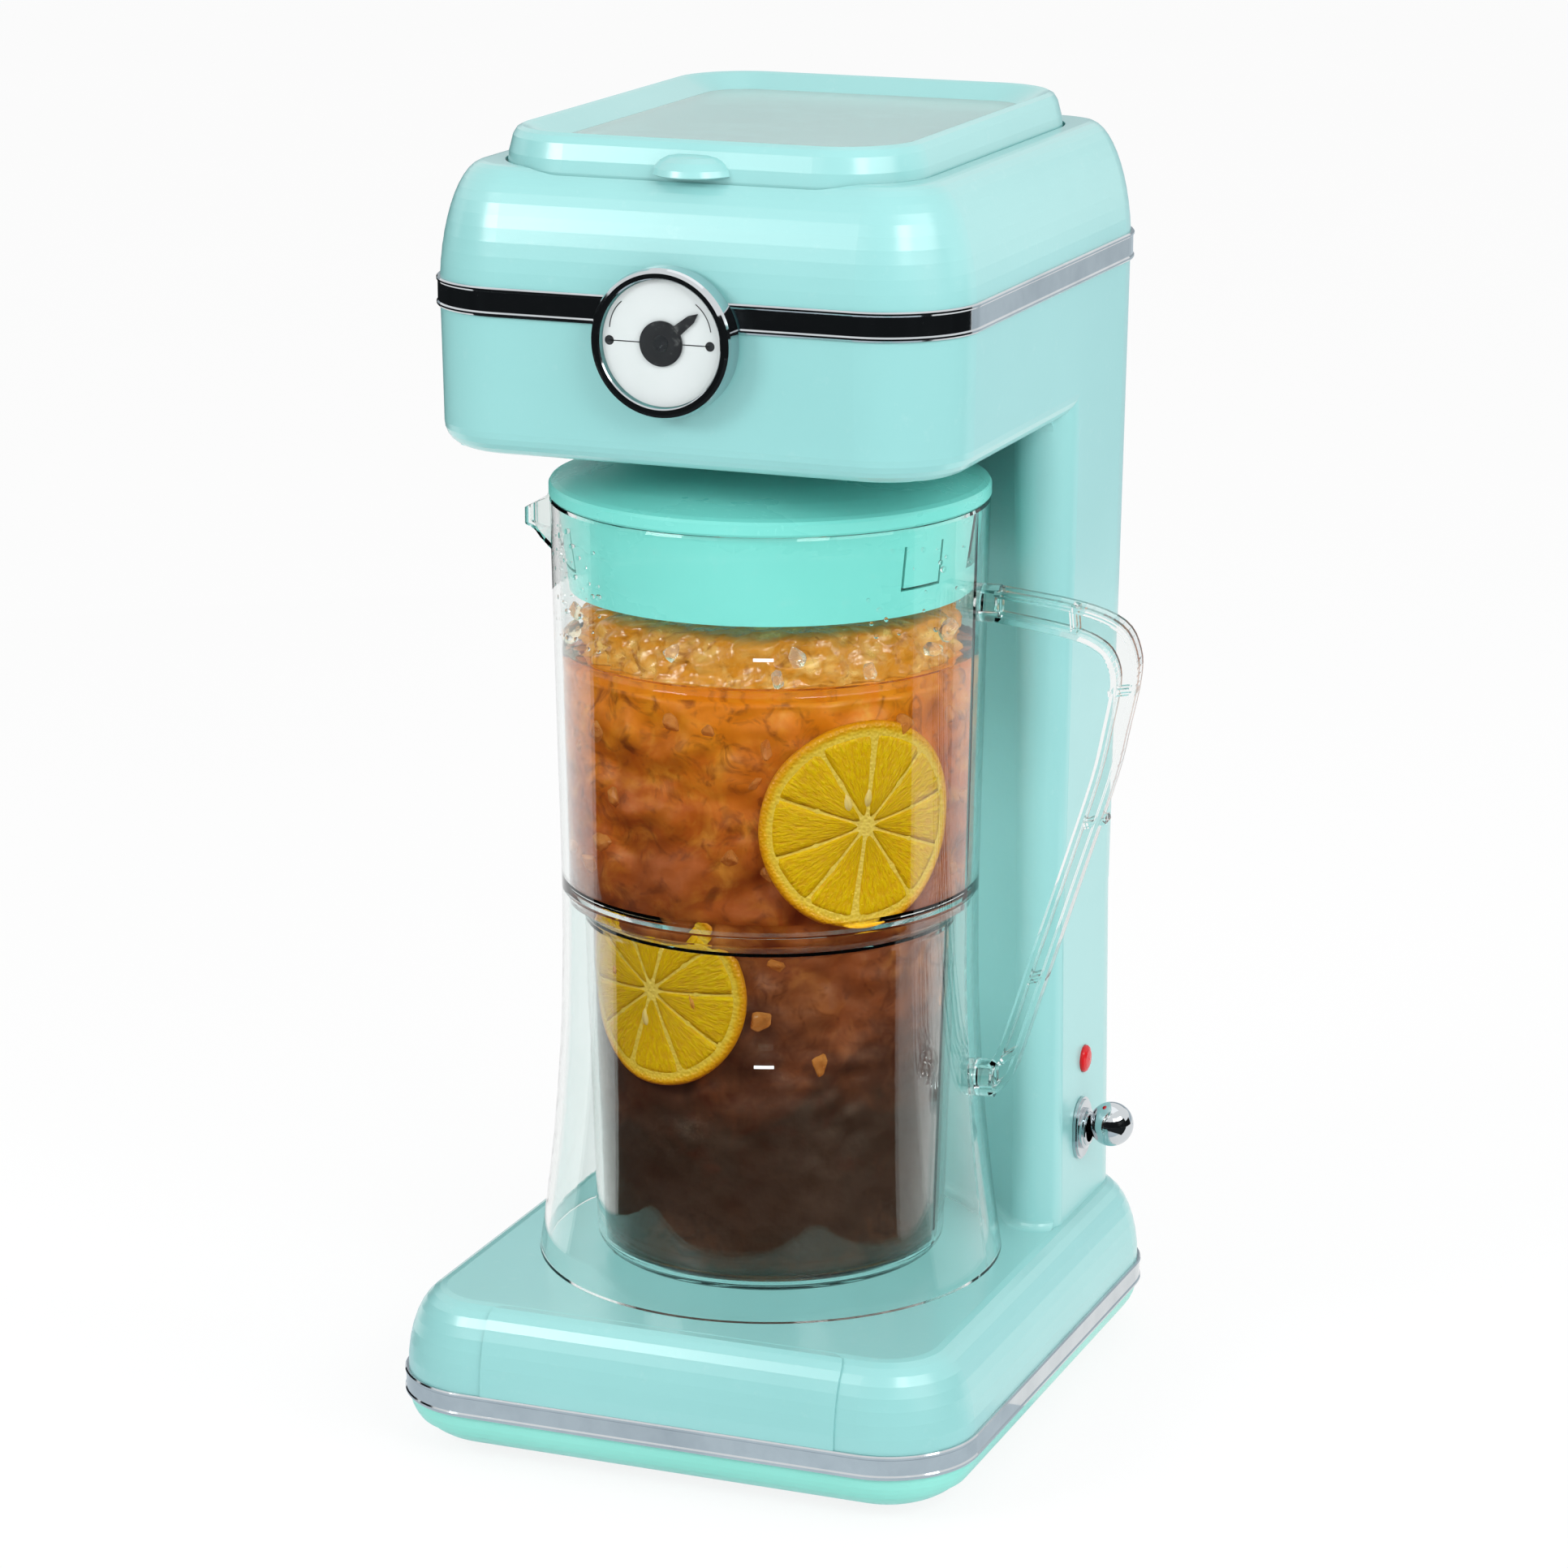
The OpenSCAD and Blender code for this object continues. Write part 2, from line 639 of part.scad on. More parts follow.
module hose_clip() difference() {
    union() {
        cylinder(h = 4, r = hose_r + 0.9);
        translate([-2.2, -hose_r - 5, 0]) cube([1, 5, 4]);
        translate([1.2, -hose_r - 5, 0]) cube([1, 5, 4]);
    }
    translate([0, 0, -1]) cylinder(h = 6, r = hose_r + fit);
    translate([-1.2, -hose_r - 6, -1]) cube([2.4, 6, 6]);
}

// Tube that carries the hot water from the riser to a drop spout over the standpipe
module spray_arm() color([0.90, 0.91, 0.90]) {
    run = norm([riser_x, riser_y - pitcher_y]);
    turn = atan2(riser_x, riser_y - pitcher_y);
    difference() {
        union() {
            translate([riser_x, riser_y, arm_z - 18]) cylinder(h = 18, r = hose_bore - fit);
            translate([riser_x, riser_y, arm_z - arm_r - 1.5]) cylinder(h = arm_r + 1.5, r = arm_r);
            translate([riser_x, riser_y, arm_z]) {
                sphere(arm_r + 0.6);
                rotate([0, 0, -turn]) rotate([90, 0, 0]) cylinder(h = run, r = arm_r);
            }
            translate([0, pitcher_y, arm_z]) sphere(arm_r + 0.6);
            translate([0, pitcher_y, pipe_top - 6]) cylinder(h = arm_z - pipe_top + 6, r = arm_r);
        }
        translate([riser_x, riser_y, arm_z - 19]) cylinder(h = 19, r = 3);
        translate([riser_x, riser_y, arm_z]) {
            sphere(3.4);
            rotate([0, 0, -turn]) rotate([90, 0, 0]) cylinder(h = run, r = 3);
        }
        translate([0, pitcher_y, arm_z]) sphere(3.4);
        translate([0, pitcher_y, pipe_top - 7]) cylinder(h = arm_z - pipe_top + 7, r = 3);
    }
}

module tank_plan(inset) {
    round_box(tank_half, -tank_front, tank_back, tank_corner, inset);
}

module reservoir() color([0.88, 0.90, 0.89]) {
    arm_y = tank_back - tank_wall / 2;
    arm_x = riser_x * (arm_y - pitcher_y) / (riser_y - pitcher_y);
    difference() {
        union() {
            difference() {
                union() {
                    translate([0, 0, tank_low]) linear_extrude(tank_top - tank_low) tank_plan(0);
                    translate([0, 0, tank_top - tank_flange]) linear_extrude(tank_flange)
                        tank_plan(-4.6);
                }
                translate([0, 0, tank_low + tank_wall]) linear_extrude(tank_top)
                    tank_plan(tank_wall);
            }
            translate([0, pitcher_y, head_low + 4]) cylinder(h = tank_low - head_low, r = pipe_r + 1.5);
            translate([0, pitcher_y, tank_low]) cylinder(h = pipe_top - tank_low, r = pipe_r + 2);
            along_y([0, pitcher_y - pipe_r, dial_z])
                cylinder(h = tank_front + pitcher_y - pipe_r, r = shaft_r + 3);
            translate([inlet_x, inlet_y, tank_low - 12]) cylinder(h = 13, r = hose_bore - fit);
            translate([inlet_x, inlet_y, tank_low + 1]) cylinder(h = 3, r = 8);
        }
        translate([0, pitcher_y, head_low]) cylinder(h = 100, r = pipe_r);
        along_y([0, pitcher_y, dial_z]) cylinder(h = 90, r = shaft_r + 0.4);
        translate([inlet_x, inlet_y, tank_low - 13]) cylinder(h = 30, r = 3);
        along_y([arm_x, tank_back + 1, arm_z]) cylinder(h = tank_wall + 2, r = arm_r + 1.2);
    }
}

module outlet_seal() color([0.30, 0.31, 0.31]) translate([inlet_x, inlet_y, tank_low - 2])
    difference() {
        cylinder(h = 2, r = 9);
        translate([0, 0, -1]) cylinder(h = 4, r = hose_bore);
    }

// Head housing below the trim seam, with the upper column in one piece
module head_housing() color(shell_color) {
    r = head_edge_r;
    u = head_inset(head_low + r);
    skin = concat([[-head_step, split_z], [-head_step, head_band_z], [-u, head_low + r]],
        [for (a = [15 : 15 : 90]) [-u - r + r * cos(a), head_low + r - r * sin(a)]],
        [[-u - r - 3, head_low], [-u - r - 3, head_low + wall]],
        [for (a = [90 : -15 : 0]) [-u - r + (r - wall) * cos(a), head_low + r - (r - wall) * sin(a)]],
        [[-head_step - wall, head_band_z], [-head_step - wall, split_z]]);
    difference() {
        union() {
            difference() {
                union() {
                    sweep_front() polygon(skin);
                    sweep_back() polygon(high_wall(seam_z, split_z));
                    sweep_noses() polygon(high_wall(seam_z + nose_slim, head_low + r + 1, nose_slim));
                    sweep_hollow() polygon(high_wall(seam_z, head_low + wall - 0.4));
                    translate([0, 0, head_low]) linear_extrude(wall) difference() {
                        round_box(head_hw, -head_front, head_back, head_corner, u + r + 1.4);
                        column_plan(head_inset(head_low) + wall / 2);
                    }
                    column_arch(4);
                }
                rear_opening(panel_gap);
            }
            rear_ledges(seam_z + 1, rear_high + 4, head_inset(seam_z + 1) + 0.27,
                head_inset(rear_high + 4) + seat);
            rear_bosses(rear_screw_high);
            for (p = cover_boss) cover_post(p, p.y < 0 ? head_low + 1 : cover_screw_z - 24);
            for (x = [-45, 45], y = [-50, 22]) translate([x, y, head_low + 1])
                cylinder(h = tank_low - head_low - 1, r = 5, $fn = 32);
            sweep_line([0.52 * head_w / 2, head_back], [-0.52 * head_w / 2, head_back])
                polygon([[-u - 0.8, rear_high + 1.5], [-u - 26, tank_low - 2.5], [-u - 26, tank_low],
                    [-u - 0.8, tank_low]]);
        }
        rear_pilots(rear_screw_high);
        for (p = cover_boss) translate([p.x, p.y, 0]) {
            translate([0, 0, head_low - 1]) cylinder(h = cover_screw_z - 5 - head_low, r = 3.6, $fn = 32);
            translate([0, 0, head_low]) cylinder(h = 80, r = screw_r + 0.25, $fn = 32);
        }
        translate([0, pitcher_y, head_low - 1]) cylinder(h = 8, r = pipe_r + 5 + fit);
        along_y([0, -head_front + 12, dial_z]) cylinder(h = 20, r = 6 + fit);
        translate([inlet_x, inlet_y, head_low - 30]) cylinder(h = 60, r = hose_r + 4, $fn = 32);
        translate([riser_x, riser_y, head_low - 30]) cylinder(h = 60, r = hose_r + 4, $fn = 32);
    }
}

// Post for a cover screw, tied to the corner of the wall by a rib
module cover_post(p, low) translate([p.x, p.y, 0]) {
    translate([0, 0, low]) cylinder(h = cover_screw_z - low, r = 5, $fn = 48);
    rotate([0, 0, atan2(p.y, p.x)]) translate([3, -1, max(low, head_low + 13)])
        cube([5.2, 2, cover_screw_z - max(low, head_low + 13) - 2]);
}

// Fillet under the head where it runs into the column
module column_arch(f) intersection() {
    union() {
        sweep_noses() polygon(arch(f - nose_slim));
        sweep_hollow() polygon(arch(f));
    }
    translate([0, 0, head_low - 20]) linear_extrude(40)
        round_box(head_hw, -head_front, head_back, head_corner, 8);
}

function arch(f) = let (u = -head_inset(head_low - f))
    concat([[u - 0.6, head_low + 1], [u + f, head_low + 1]],
        [for (a = [90 : -18 : 18]) [u + f - f * cos(a), head_low - f + f * sin(a)]],
        [[u - 0.05, head_low - f], [u - 0.6, head_low - f]]);

module lid_plan(inset) {
    round_box(lid_half, -lid_front, lid_back, lid_corner, inset);
}

module head_cover() color(shell_color) {
    top = head_band_z + head_band_h;
    rise = dome_top - top;
    c = head_corner;
    skin = concat([[-head_step, split_z]], quarter(head_step, top, dome_run, rise, 1.8, 12),
        [[1 - c, dome_top], [1 - c, dome_top - wall]],
        reverse(quarter(head_step + wall, top, dome_run, rise - wall, 1.8, 12)),
        [[-head_step - wall, split_z]]);
    difference() {
        union() {
            sweep_box(head_hw, -head_front, head_back, c) polygon(skin);
            translate([0, 0, dome_top - wall]) linear_extrude(wall)
                round_box(head_hw, -head_front, head_back, c, c - 3);
            for (p = cover_boss) translate([p.x, p.y, cover_screw_z + seat])
                cylinder(h = dome_top - wall / 2 - cover_screw_z - 13, r = 5);
            for (s = [-1, 1], d = [-1, 1]) hinge_ear(s * hinge_x + d * (knuckle_w + ear_w + 0.4) / 2);
        }
        translate([0, 0, dome_top - 12]) linear_extrude(30) lid_plan(-lid_gap);
        for (p = cover_boss) translate([p.x, p.y, cover_screw_z - 1]) cylinder(h = 14, r = screw_r + fit);
        along_x([-hinge_x - 30, hinge_y, hinge_z]) cylinder(h = 2 * hinge_x + 60, r = pin_r + fit);
        along_y([0, -head_front + 12, dial_z]) cylinder(h = 20, r = 12);
    }
}

module hinge_ear(x) translate([x - ear_w / 2, 0, 0]) {
    along_x([0, hinge_y, hinge_z]) cylinder(h = ear_w, r = knuckle_r + 0.5);
    translate([0, hinge_y - knuckle_r - 0.5, dome_top - 6])
        cube([ear_w, 2 * knuckle_r + 1, hinge_z - dome_top + 6]);
}

module cover_screws() color(bright_color) for (p = cover_boss)
    translate([p.x, p.y, cover_screw_z - 6]) screw(16, screw_r, 3.1, 2);

module head_trim() color(bright_color) difference() {
    sweep_box(head_hw, -head_front, head_back, head_corner) polygon(band(head_band_z, head_band_h));
    along_y([0, -head_front + 12, dial_z]) cylinder(h = 20, r = bezel_r - 1.2 + panel_gap);
}

// Cover on the back of the column that closes the way to the hoses and wires
module rear_cover() color(shell_color) {
    mid = seam_z;
    difference() {
        sweep_line([rear_cover_half, head_back], [-rear_cover_half, head_back])
            polygon([[-foot_inset(rear_low), rear_low], [-foot_inset(mid), mid],
                [-head_inset(rear_high), rear_high], [-head_inset(rear_high) - wall, rear_high],
                [-foot_inset(mid) - wall, mid], [-foot_inset(rear_low) - wall, rear_low]]);
        for (s = [-1, 1], z = concat(rear_screw_low, rear_screw_high))
            along_y([s * rear_screw_x, head_back, z]) {
                cylinder(h = 12, r = screw_r + 0.25);
                cylinder(h = rear_depth(z), r = 3.4);
            }
        for (k = [-5 : 5]) translate([k * 5 - 1, head_back - 12, seam_z - 62]) cube([2, 16, 34]);
    }
}

module rear_screws() color(bright_color) for (s = [-1, 1], z = concat(rear_screw_low,
    rear_screw_high)) along_y([s * rear_screw_x, head_back - rear_depth(z), z]) screw(8, screw_r, 3.1, 1.5);

module shower_head() color([0.93, 0.95, 0.94]) translate([0, pitcher_y, 0]) difference() {
    union() {
        translate([0, 0, head_low - 3]) cylinder(h = 3, r1 = shower_r - 1.5, r2 = shower_r);
        translate([0, 0, head_low - 1]) cylinder(h = 11, r = pipe_r + 5);
    }
    translate([0, 0, head_low - 1.4]) cylinder(h = 14, r = pipe_r + 3.1);
    translate([0, 0, head_low - 4]) cylinder(h = 4, r = 1.3, $fn = 24);
    for (a = [0 : 60 : 300]) rotate(a) translate([6, 0, head_low - 4])
        cylinder(h = 4, r = 1.3, $fn = 24);
}

module shower_seal() color([0.35, 0.36, 0.36]) translate([0, pitcher_y, head_low + 4.5]) difference() {
    cylinder(h = 5, r = pipe_r + 3.1 - fit);
    translate([0, 0, -1]) cylinder(h = 7, r = pipe_r + 1.5 + fit);
}

// Cup that carries the dial, with a threaded neck through the head's front wall
module dial_seat() color(shell_color) along_y([0, 0, dial_z]) rotate_extrude() {
    w = dial_wall + 0.02;
    f = dial_seat_z;
    b = bezel_r - 1.2;
    polygon([[shaft_r + fit, w - 9], [6, w - 9], [6, w], [10, w], [10, w + 2], [6.5, w + 2],
        [6.5, f - 1.6], [b - 2, f - 1.6], [b - 2, w], [b, w], [b, f - 0.4], [b - 0.4, f],
        [shaft_r + fit, f]]);
}

module dial_face() color([0.93, 0.94, 0.94]) along_y([0, 0, dial_z]) translate([0, 0, dial_seat_z])
    difference() {
        cylinder(h = 0.8, r = face_r);
        translate([0, 0, -1]) cylinder(h = 3, r = shaft_r + 0.35);
    }

module dial_nut() color([0.40, 0.41, 0.42]) along_y([0, 0, dial_z])
    translate([0, 0, dial_wall - wall - 3.35]) difference() {
        linear_extrude(3) circle(10.4, $fn = 6);
        translate([0, 0, -1]) cylinder(h = 5, r = 6 + fit);
    }

module dial_bezel() color(bright_color) along_y([0, 0, dial_z]) rotate_extrude() {
    f = dial_rim;
    b = bezel_r;
    polygon([[b - 0.8, f - 8.1], [b, f - 8.1], [b, f - 1.6], [b - 0.5, f - 0.6], [b - 1.5, f],
        [b - 3, f], [b - 3.4, f - 0.4], [b - 2.35, f - 0.4], [b - 2.35, f - 1.5],
        [b - 1.8, f - 2.2], [b - 0.8, f - 3]]);
}

module dial_crystal() color(clear_color) along_y([0, 0, dial_z]) {
    translate([0, 0, dial_rim - 1.4]) cylinder(h = 0.9, r = bezel_r - 2.4);
    translate([0, 0, dial_rim - 1.65]) cylinder(h = 0.3, r = dial_hub_r - 1);
}

module dial_pointer() color([0.20, 0.21, 0.22]) along_y([0, 0, dial_z])
    translate([0, 0, dial_rim - 2.3]) difference() {
        union() {
            cylinder(h = 0.6, r = dial_hub_r - 0.8);
            rotate(pointer_angle) linear_extrude(0.6)
                polygon([[0, -2.2], [face_r - 7, -1.4], [face_r - 4, 0], [face_r - 7, 1.4], [0, 2.2]]);
        }
        translate([0, 0, -1]) cylinder(h = 3, r = shaft_r + fit);
    }

module dial_shaft() color([0.60, 0.62, 0.64]) along_y([0, 0, dial_z])
    translate([0, 0, -pitcher_y - 7]) cylinder(h = dial_rim - 1.65 + pitcher_y + 7, r = shaft_r);

// Disc on the shaft that turns in the standpipe and sets the flow
module flow_vane() color([0.85, 0.86, 0.86]) along_y([0, pitcher_y, dial_z])
    rotate([0, 0, pointer_angle]) difference() {
        union() {
            rotate([0, 90, 0]) translate([0, 0, -0.7]) cylinder(h = 1.4, r = pipe_r - 0.8);
            translate([0, 0, -7]) cylinder(h = 14, r = shaft_r + 1.1);
        }
        translate([0, 0, -10]) cylinder(h = 20, r = shaft_r + fit);
    }

module hinge_pins() color([0.72, 0.74, 0.76]) for (s = [-1, 1]) {
    long = knuckle_w + 2 * ear_w + 1.4;
    along_x([s * hinge_x - long / 2, hinge_y, hinge_z]) cylinder(h = long, r = pin_r);
}

module stadium(r, d) {
    for (s = [-1, 1]) translate([s * d, 0]) circle(r);
    translate([-d, -r]) square([2 * d, 2 * r]);
}

module switch_plate() color(shell_color) along_x([switch_face + 0.02, switch_y, switch_z])
    difference() {
        union() {
            linear_extrude(1) stadium(8.5, 2.6);
            linear_extrude(1.6) stadium(7.7, 2.6);
        }
        translate([0, 0, -1]) cylinder(h = 4, r = 6.2 + fit);
    }

module switch_collar() color(pan_color) along_x([switch_face, switch_y, switch_z])
    rotate_extrude() polygon([[4.7, -4], [6.2, -4], [6.2, 1.65], [7.2, 1.65], [7.2, 2.7],
        [6, 3.1], [6, 3.3], [5.6, 3.7], [4.7, 3.7]]);

module switch_body() color([0.16, 0.16, 0.17]) {
    front = switch_face - 4.1;
    difference() {
        union() {
            translate([front - 22, switch_y - 9, switch_z - 11]) cube([22, 18, 22]);
            for (k = [-1 : 1]) translate([front - 30, switch_y - 0.4, switch_z + 7 * k - 2])
                cube([9, 0.8, 4]);
        }
        along_x([pivot_x - 9, switch_y, switch_z]) cylinder(h = 20, r = 4.7);
        along_y([pivot_x, switch_y + 10, switch_z]) cylinder(h = 20, r = 1.2 + fit);
    }
}

module switch_lever() color(bright_color) translate([pivot_x, switch_y, switch_z]) {
    rotate([0, 90 - lever_tilt, 0]) {
        sphere(3.4);
        cylinder(h = lever_reach - 2, r = 2.2);
        translate([0, 0, -7]) cylinder(h = 7, r = 1.6);
    }
    rotate([90, 0, 0]) translate([0, 0, -8]) cylinder(h = 16, r = 1.2);
}

module switch_ball() color(shell_color) translate([pivot_x, switch_y, switch_z])
    rotate([0, 90 - lever_tilt, 0]) difference() {
        translate([0, 0, lever_reach]) sphere(ball_r);
        cylinder(h = lever_reach - 2, r = 2.2 + fit);
    }

module lamp_lens() color([0.88, 0.16, 0.18]) along_x([lamp_wall, lamp_y, lamp_z])
    rotate_extrude() polygon([[0, -3.6], [6.4, -3.6], [6.4, -2.65], [lamp_r, -2.65],
        [lamp_r, 0.7], [lamp_r - 0.5, 1.3], [lamp_r - 1.8, 1.8], [0, 2.1]]);

module lamp_body() color([0.90, 0.90, 0.88]) along_x([lamp_wall, lamp_y, lamp_z])
    rotate_extrude() polygon([[0, -14], [6.4, -14], [6.4, -3.7], [5, -3.7], [5, -12], [2.5, -12],
        [2.5, -7], [1.6, -5.6], [0, -5.2]]);

module cord_gland() color([0.20, 0.20, 0.21]) translate([gland_x, 0, gland_z]) rotate([-90, 0, 0])
    rotate_extrude() {
        y = base_back - base_side;
        r = gland_r;
        polygon([[r - 2.6, y - 9.6], [r + 1.2, y - 9.6], [r + 1.2, y - 7.8], [r, y - 7.8], [r, y + 0.05],
            [r + 2.4, y + 0.05], [r + 2.4, y + 0.9], [r - 0.4, y + 2.1], [r - 2.6, y + 2.1]]);
    }

// Lid over the tank: a raised rim that holds a sunken clear window
module lid_frame() color(shell_color) difference() {
    c = lid_slope_in;
    top = lid_top;
    union() {
        sweep_box(lid_half, -lid_front, lid_back, lid_corner)
            polygon([[0, lid_low], [0, dome_top - 1], [-0.5, dome_top + 3], [-1.8, top - 3],
                [-3.1, top - 0.9], [-lid_crest, top], [-6.3, top - 0.5], [-c, lid_floor],
                [-c, lid_floor - lid_t], [-lid_ledge, lid_floor - lid_t],
                [-lid_ledge, lid_floor - lid_t - 1.6], [1 - c, lid_floor - lid_t - 1.6],
                [-6.3, top - 2.7], [-4.8, top - 2.3], [-3.9, top - 3.4], [-2.2, dome_top - 1],
                [-2.2, lid_low]]);
        difference() {
            translate([2, tab_r - 9 - lid_front, 0]) rotate_extrude()
                polygon([[0, dome_top + 4.8], [7, dome_top + 3.6], [11, dome_top + 1.8],
                    [tab_r - 0.8, dome_top + 0.3], [tab_r, dome_top + 0.7],
                    [tab_r - 0.6, dome_top + 2.6], [tab_r - 2.4, dome_top + 4.8],
                    [tab_r - 5, dome_top + 6.2], [6, dome_top + 6.8], [0, dome_top + 7]]);
            translate([-40, 1.5 - lid_front, dome_top]) cube([80, 40, 20]);
        }
        for (s = [-1, 1]) translate([s * hinge_x - knuckle_w / 2, 0, 0]) {
            along_x([0, hinge_y, hinge_z]) cylinder(h = knuckle_w, r = knuckle_r);
            translate([0, lid_back - 2.5, hinge_z - 1.6])
                cube([knuckle_w, hinge_y - lid_back + 2.5, 3.2]);
        }
    }
    along_x([-hinge_x - 30, hinge_y, hinge_z]) cylinder(h = 2 * hinge_x + 60, r = pin_r + fit);
}

module lid_window() color([0.80, 0.90, 0.88, 0.5]) translate([0, 0, lid_floor - lid_t])
    linear_extrude(lid_t) lid_plan(lid_slope_in + 0.15);

module at_pitcher() {
    translate([0, pitcher_y, 0]) children();
}

// Clear inner vessel with a spout opposite the handle
module pitcher_vessel() color(clear_color) at_pitcher() {
    t = clear_wall;
    w = weld_r - 2.6;
    outer = concat([[0, vessel_low]],
        [for (a = [0 : 15 : 90]) [inner_low_r - 6 + 6 * sin(a), vessel_low + 6 - 6 * cos(a)]],
        [[inner_top_r, weld_z - 9], [inner_top_r + 0.6, weld_z - 7], [w, weld_z - 3.4], [w, weld_z],
         [weld_r, weld_z], [rim_r, rim_z - 1], [rim_r - 0.4, rim_z]]);
    inner = concat([[rim_r - t + 0.3, rim_z], [rim_r - t, rim_z - 0.8], [weld_r - t, weld_z + 4],
            [w - t, weld_z - 0.5], [w - t, weld_z - 4], [inner_top_r - t + 0.4, weld_z - 8.6],
            [inner_top_r - t, weld_z - 11]],
        [for (a = [90 : -15 : 0]) [inner_low_r - 6 + (6 - t) * sin(a),
            vessel_low + 6 - (6 - t) * cos(a)]], [[0, vessel_low + t]]);
    difference() {
        union() {
            rotate_extrude($fn = 120) polygon(concat(outer, inner));
            difference() {
                spout_form(0);
                translate([0, 0, rim_z - 60]) cylinder(h = 80, r = rim_r - t);
            }
            handle_stub(upper_r(boss_high_z), boss_high_z);
        }
        spout_form(1.8);
    }
}

// Beak of the spout, drawn in by t all round and open on top
module spout_form(t) intersection() {
    tip = rim_r + spout_reach;
    rotate(180 + handle_turn) translate([0, 0, rim_z - 40]) linear_extrude(60) {
        polygon([[rim_r - 6, t - 19], [tip - 4.6, t - 3.4], [tip - 2.4 - t, t - 2.6],
            [tip - 2.4 - t, 2.6 - t], [tip - 4.6, 3.4 - t], [rim_r - 6, 19 - t]]);
        translate([tip - 2.7 - t / 2, 0]) circle(2.7 - t / 2, $fn = 32);
    }
    rotate(180 + handle_turn) rotate([90, 0, 0]) translate([0, 0, -30]) linear_extrude(60)
        polygon([[rim_r - 8, rim_z - 21 + t], [rim_r - 1.5, rim_z - 20.5 + t],
            [rim_r + 5, rim_z - 18 + t], [tip - 3, rim_z - 15.5 + t], [tip + 2, rim_z - 14 + t],
            [tip + 2, rim_z - 10.5 + 3 * t], [rim_r + 2, rim_z - 4 + 3 * t], [rim_r - 1, rim_z + 4 * t],
            [rim_r - 8, rim_z + 4 * t]]);
}

module handle_stub(r, z) {
    rotate(handle_turn) along_x([r - 1, 0, z]) cylinder(h = 5.6, r = 3);
}

// Outer skirt of the pitcher, flared to the foot and open below
module pitcher_skirt() color(clear_color) at_pitcher() {
    high = weld_z - seat;
    zs = [for (k = [0 : 16]) high + (foot_z - high) * k / 16];
    rotate_extrude($fn = 120) polygon(concat([for (z = zs) [skirt_r(z), z]],
        reverse([for (z = zs) [skirt_r(z) - 2.2, z]])));
    handle_stub(skirt_r(boss_low_z), boss_low_z);
}

// Smooth run of points through a list of corners
function bend(p, n = 4) = concat([for (i = [0 : len(p) - 2], j = [0 : n - 1])
    let (a = p[max(0, i - 1)], b = p[i], c = p[i + 1], d = p[min(len(p) - 1, i + 2)], t = j / n)
    0.5 * (2 * b + (c - a) * t + (2 * a - 5 * b + 4 * c - d) * t * t
        + (3 * b - 3 * c + d - a) * t * t * t)], [p[len(p) - 1]]);

// The same run moved sideways by m
function aside(p, m) = [for (i = [0 : len(p) - 1])
    let (d = p[min(len(p) - 1, i + 1)] - p[max(0, i - 1)]) p[i] + m * [-d.y, d.x] / norm(d)];

// Handle of I section: two broad flanges and a thin web, stiffened by five cross ribs
module pitcher_handle() color(clear_color) at_pitcher() {
    far = handle_reach;
    out = bend([[77.5, boss_high_z + 5], [far - 20.3, boss_high_z + 1.2], [far - 5.3, boss_high_z - 4.4],
        [far, boss_high_z - 13.7], [far + 0.2, boss_high_z - 24], [far - 3, boss_high_z - 40],
        [far - 6.9, boss_high_z - 57.4], [far - 17.4, boss_high_z - 90.8], [far - 28, boss_low_z + 40],
        [far - 34.4, boss_low_z + 19.6], [far - 37.4, boss_low_z + 10], [far - 39.9, boss_low_z + 2.4],
        [far - 43.6, boss_low_z - 2.6], [77.5, boss_low_z - 4.6]]);
    in = bend([[77.5, boss_high_z - 5.2], [far - 23.7, boss_high_z - 9.1],
        [far - 13.6, boss_high_z - 12.9], [far - 9.5, boss_high_z - 17.8],
        [far - 8.3, boss_high_z - 25.4], [far - 11, boss_high_z - 41], [far - 14.8, boss_high_z - 58],
        [far - 25, boss_high_z - 91], [far - 35, boss_low_z + 42], [far - 41.2, boss_low_z + 22],
        [far - 44.2, boss_low_z + 13], [far - 46, boss_low_z + 8.6], [77, boss_low_z + 6.2]]);
    ribs = [[far - 21.3, boss_high_z - 4], [far - 5.5, boss_high_z - 27],
        [far - 13, boss_high_z - 72], [far - 32.6, boss_low_z + 37], [far - 41.6, boss_low_z + 8.7]];
    tilt = [95, 8, 17, 17, 35];
    rotate(handle_turn) difference() {
        union() {
            rotate([90, 0, 0]) {
                translate([0, 0, -handle_w / 2]) linear_extrude(handle_w) {
                    polygon(concat(out, reverse(aside(out, -2))));
                    polygon(concat(in, reverse(aside(in, 2))));
                }
                translate([0, 0, -1.2]) linear_extrude(2.4) polygon(concat(out, reverse(in)));
                for (k = [0 : 4]) translate([ribs[k].x, ribs[k].y, 0]) rotate(tilt[k])
                    translate([-handle_deep / 2 + 1, -1, 1 - handle_w / 2])
                    cube([handle_deep - 2, 2, handle_w - 2]);
            }
            for (z = [boss_high_z, boss_low_z]) along_x([weld_r - 2, 0, z]) cylinder(h = 10, r = 6.4);
        }
        translate([0, 0, weld_z + 1]) cylinder(h = 200, r1 = upper_r(weld_z + 1) + fit,
            r2 = upper_r(weld_z + 201) + fit, $fn = 120);
        translate([0, 0, boss_low_z - 22]) cylinder(h = 44, r1 = skirt_r(boss_low_z - 22) + fit,
            r2 = skirt_r(boss_low_z + 22) + fit, $fn = 120);
        for (z = [boss_high_z, boss_low_z]) along_x([weld_r - 8, 0, z]) cylinder(h = 16, r = 3 + fit);
    }
}

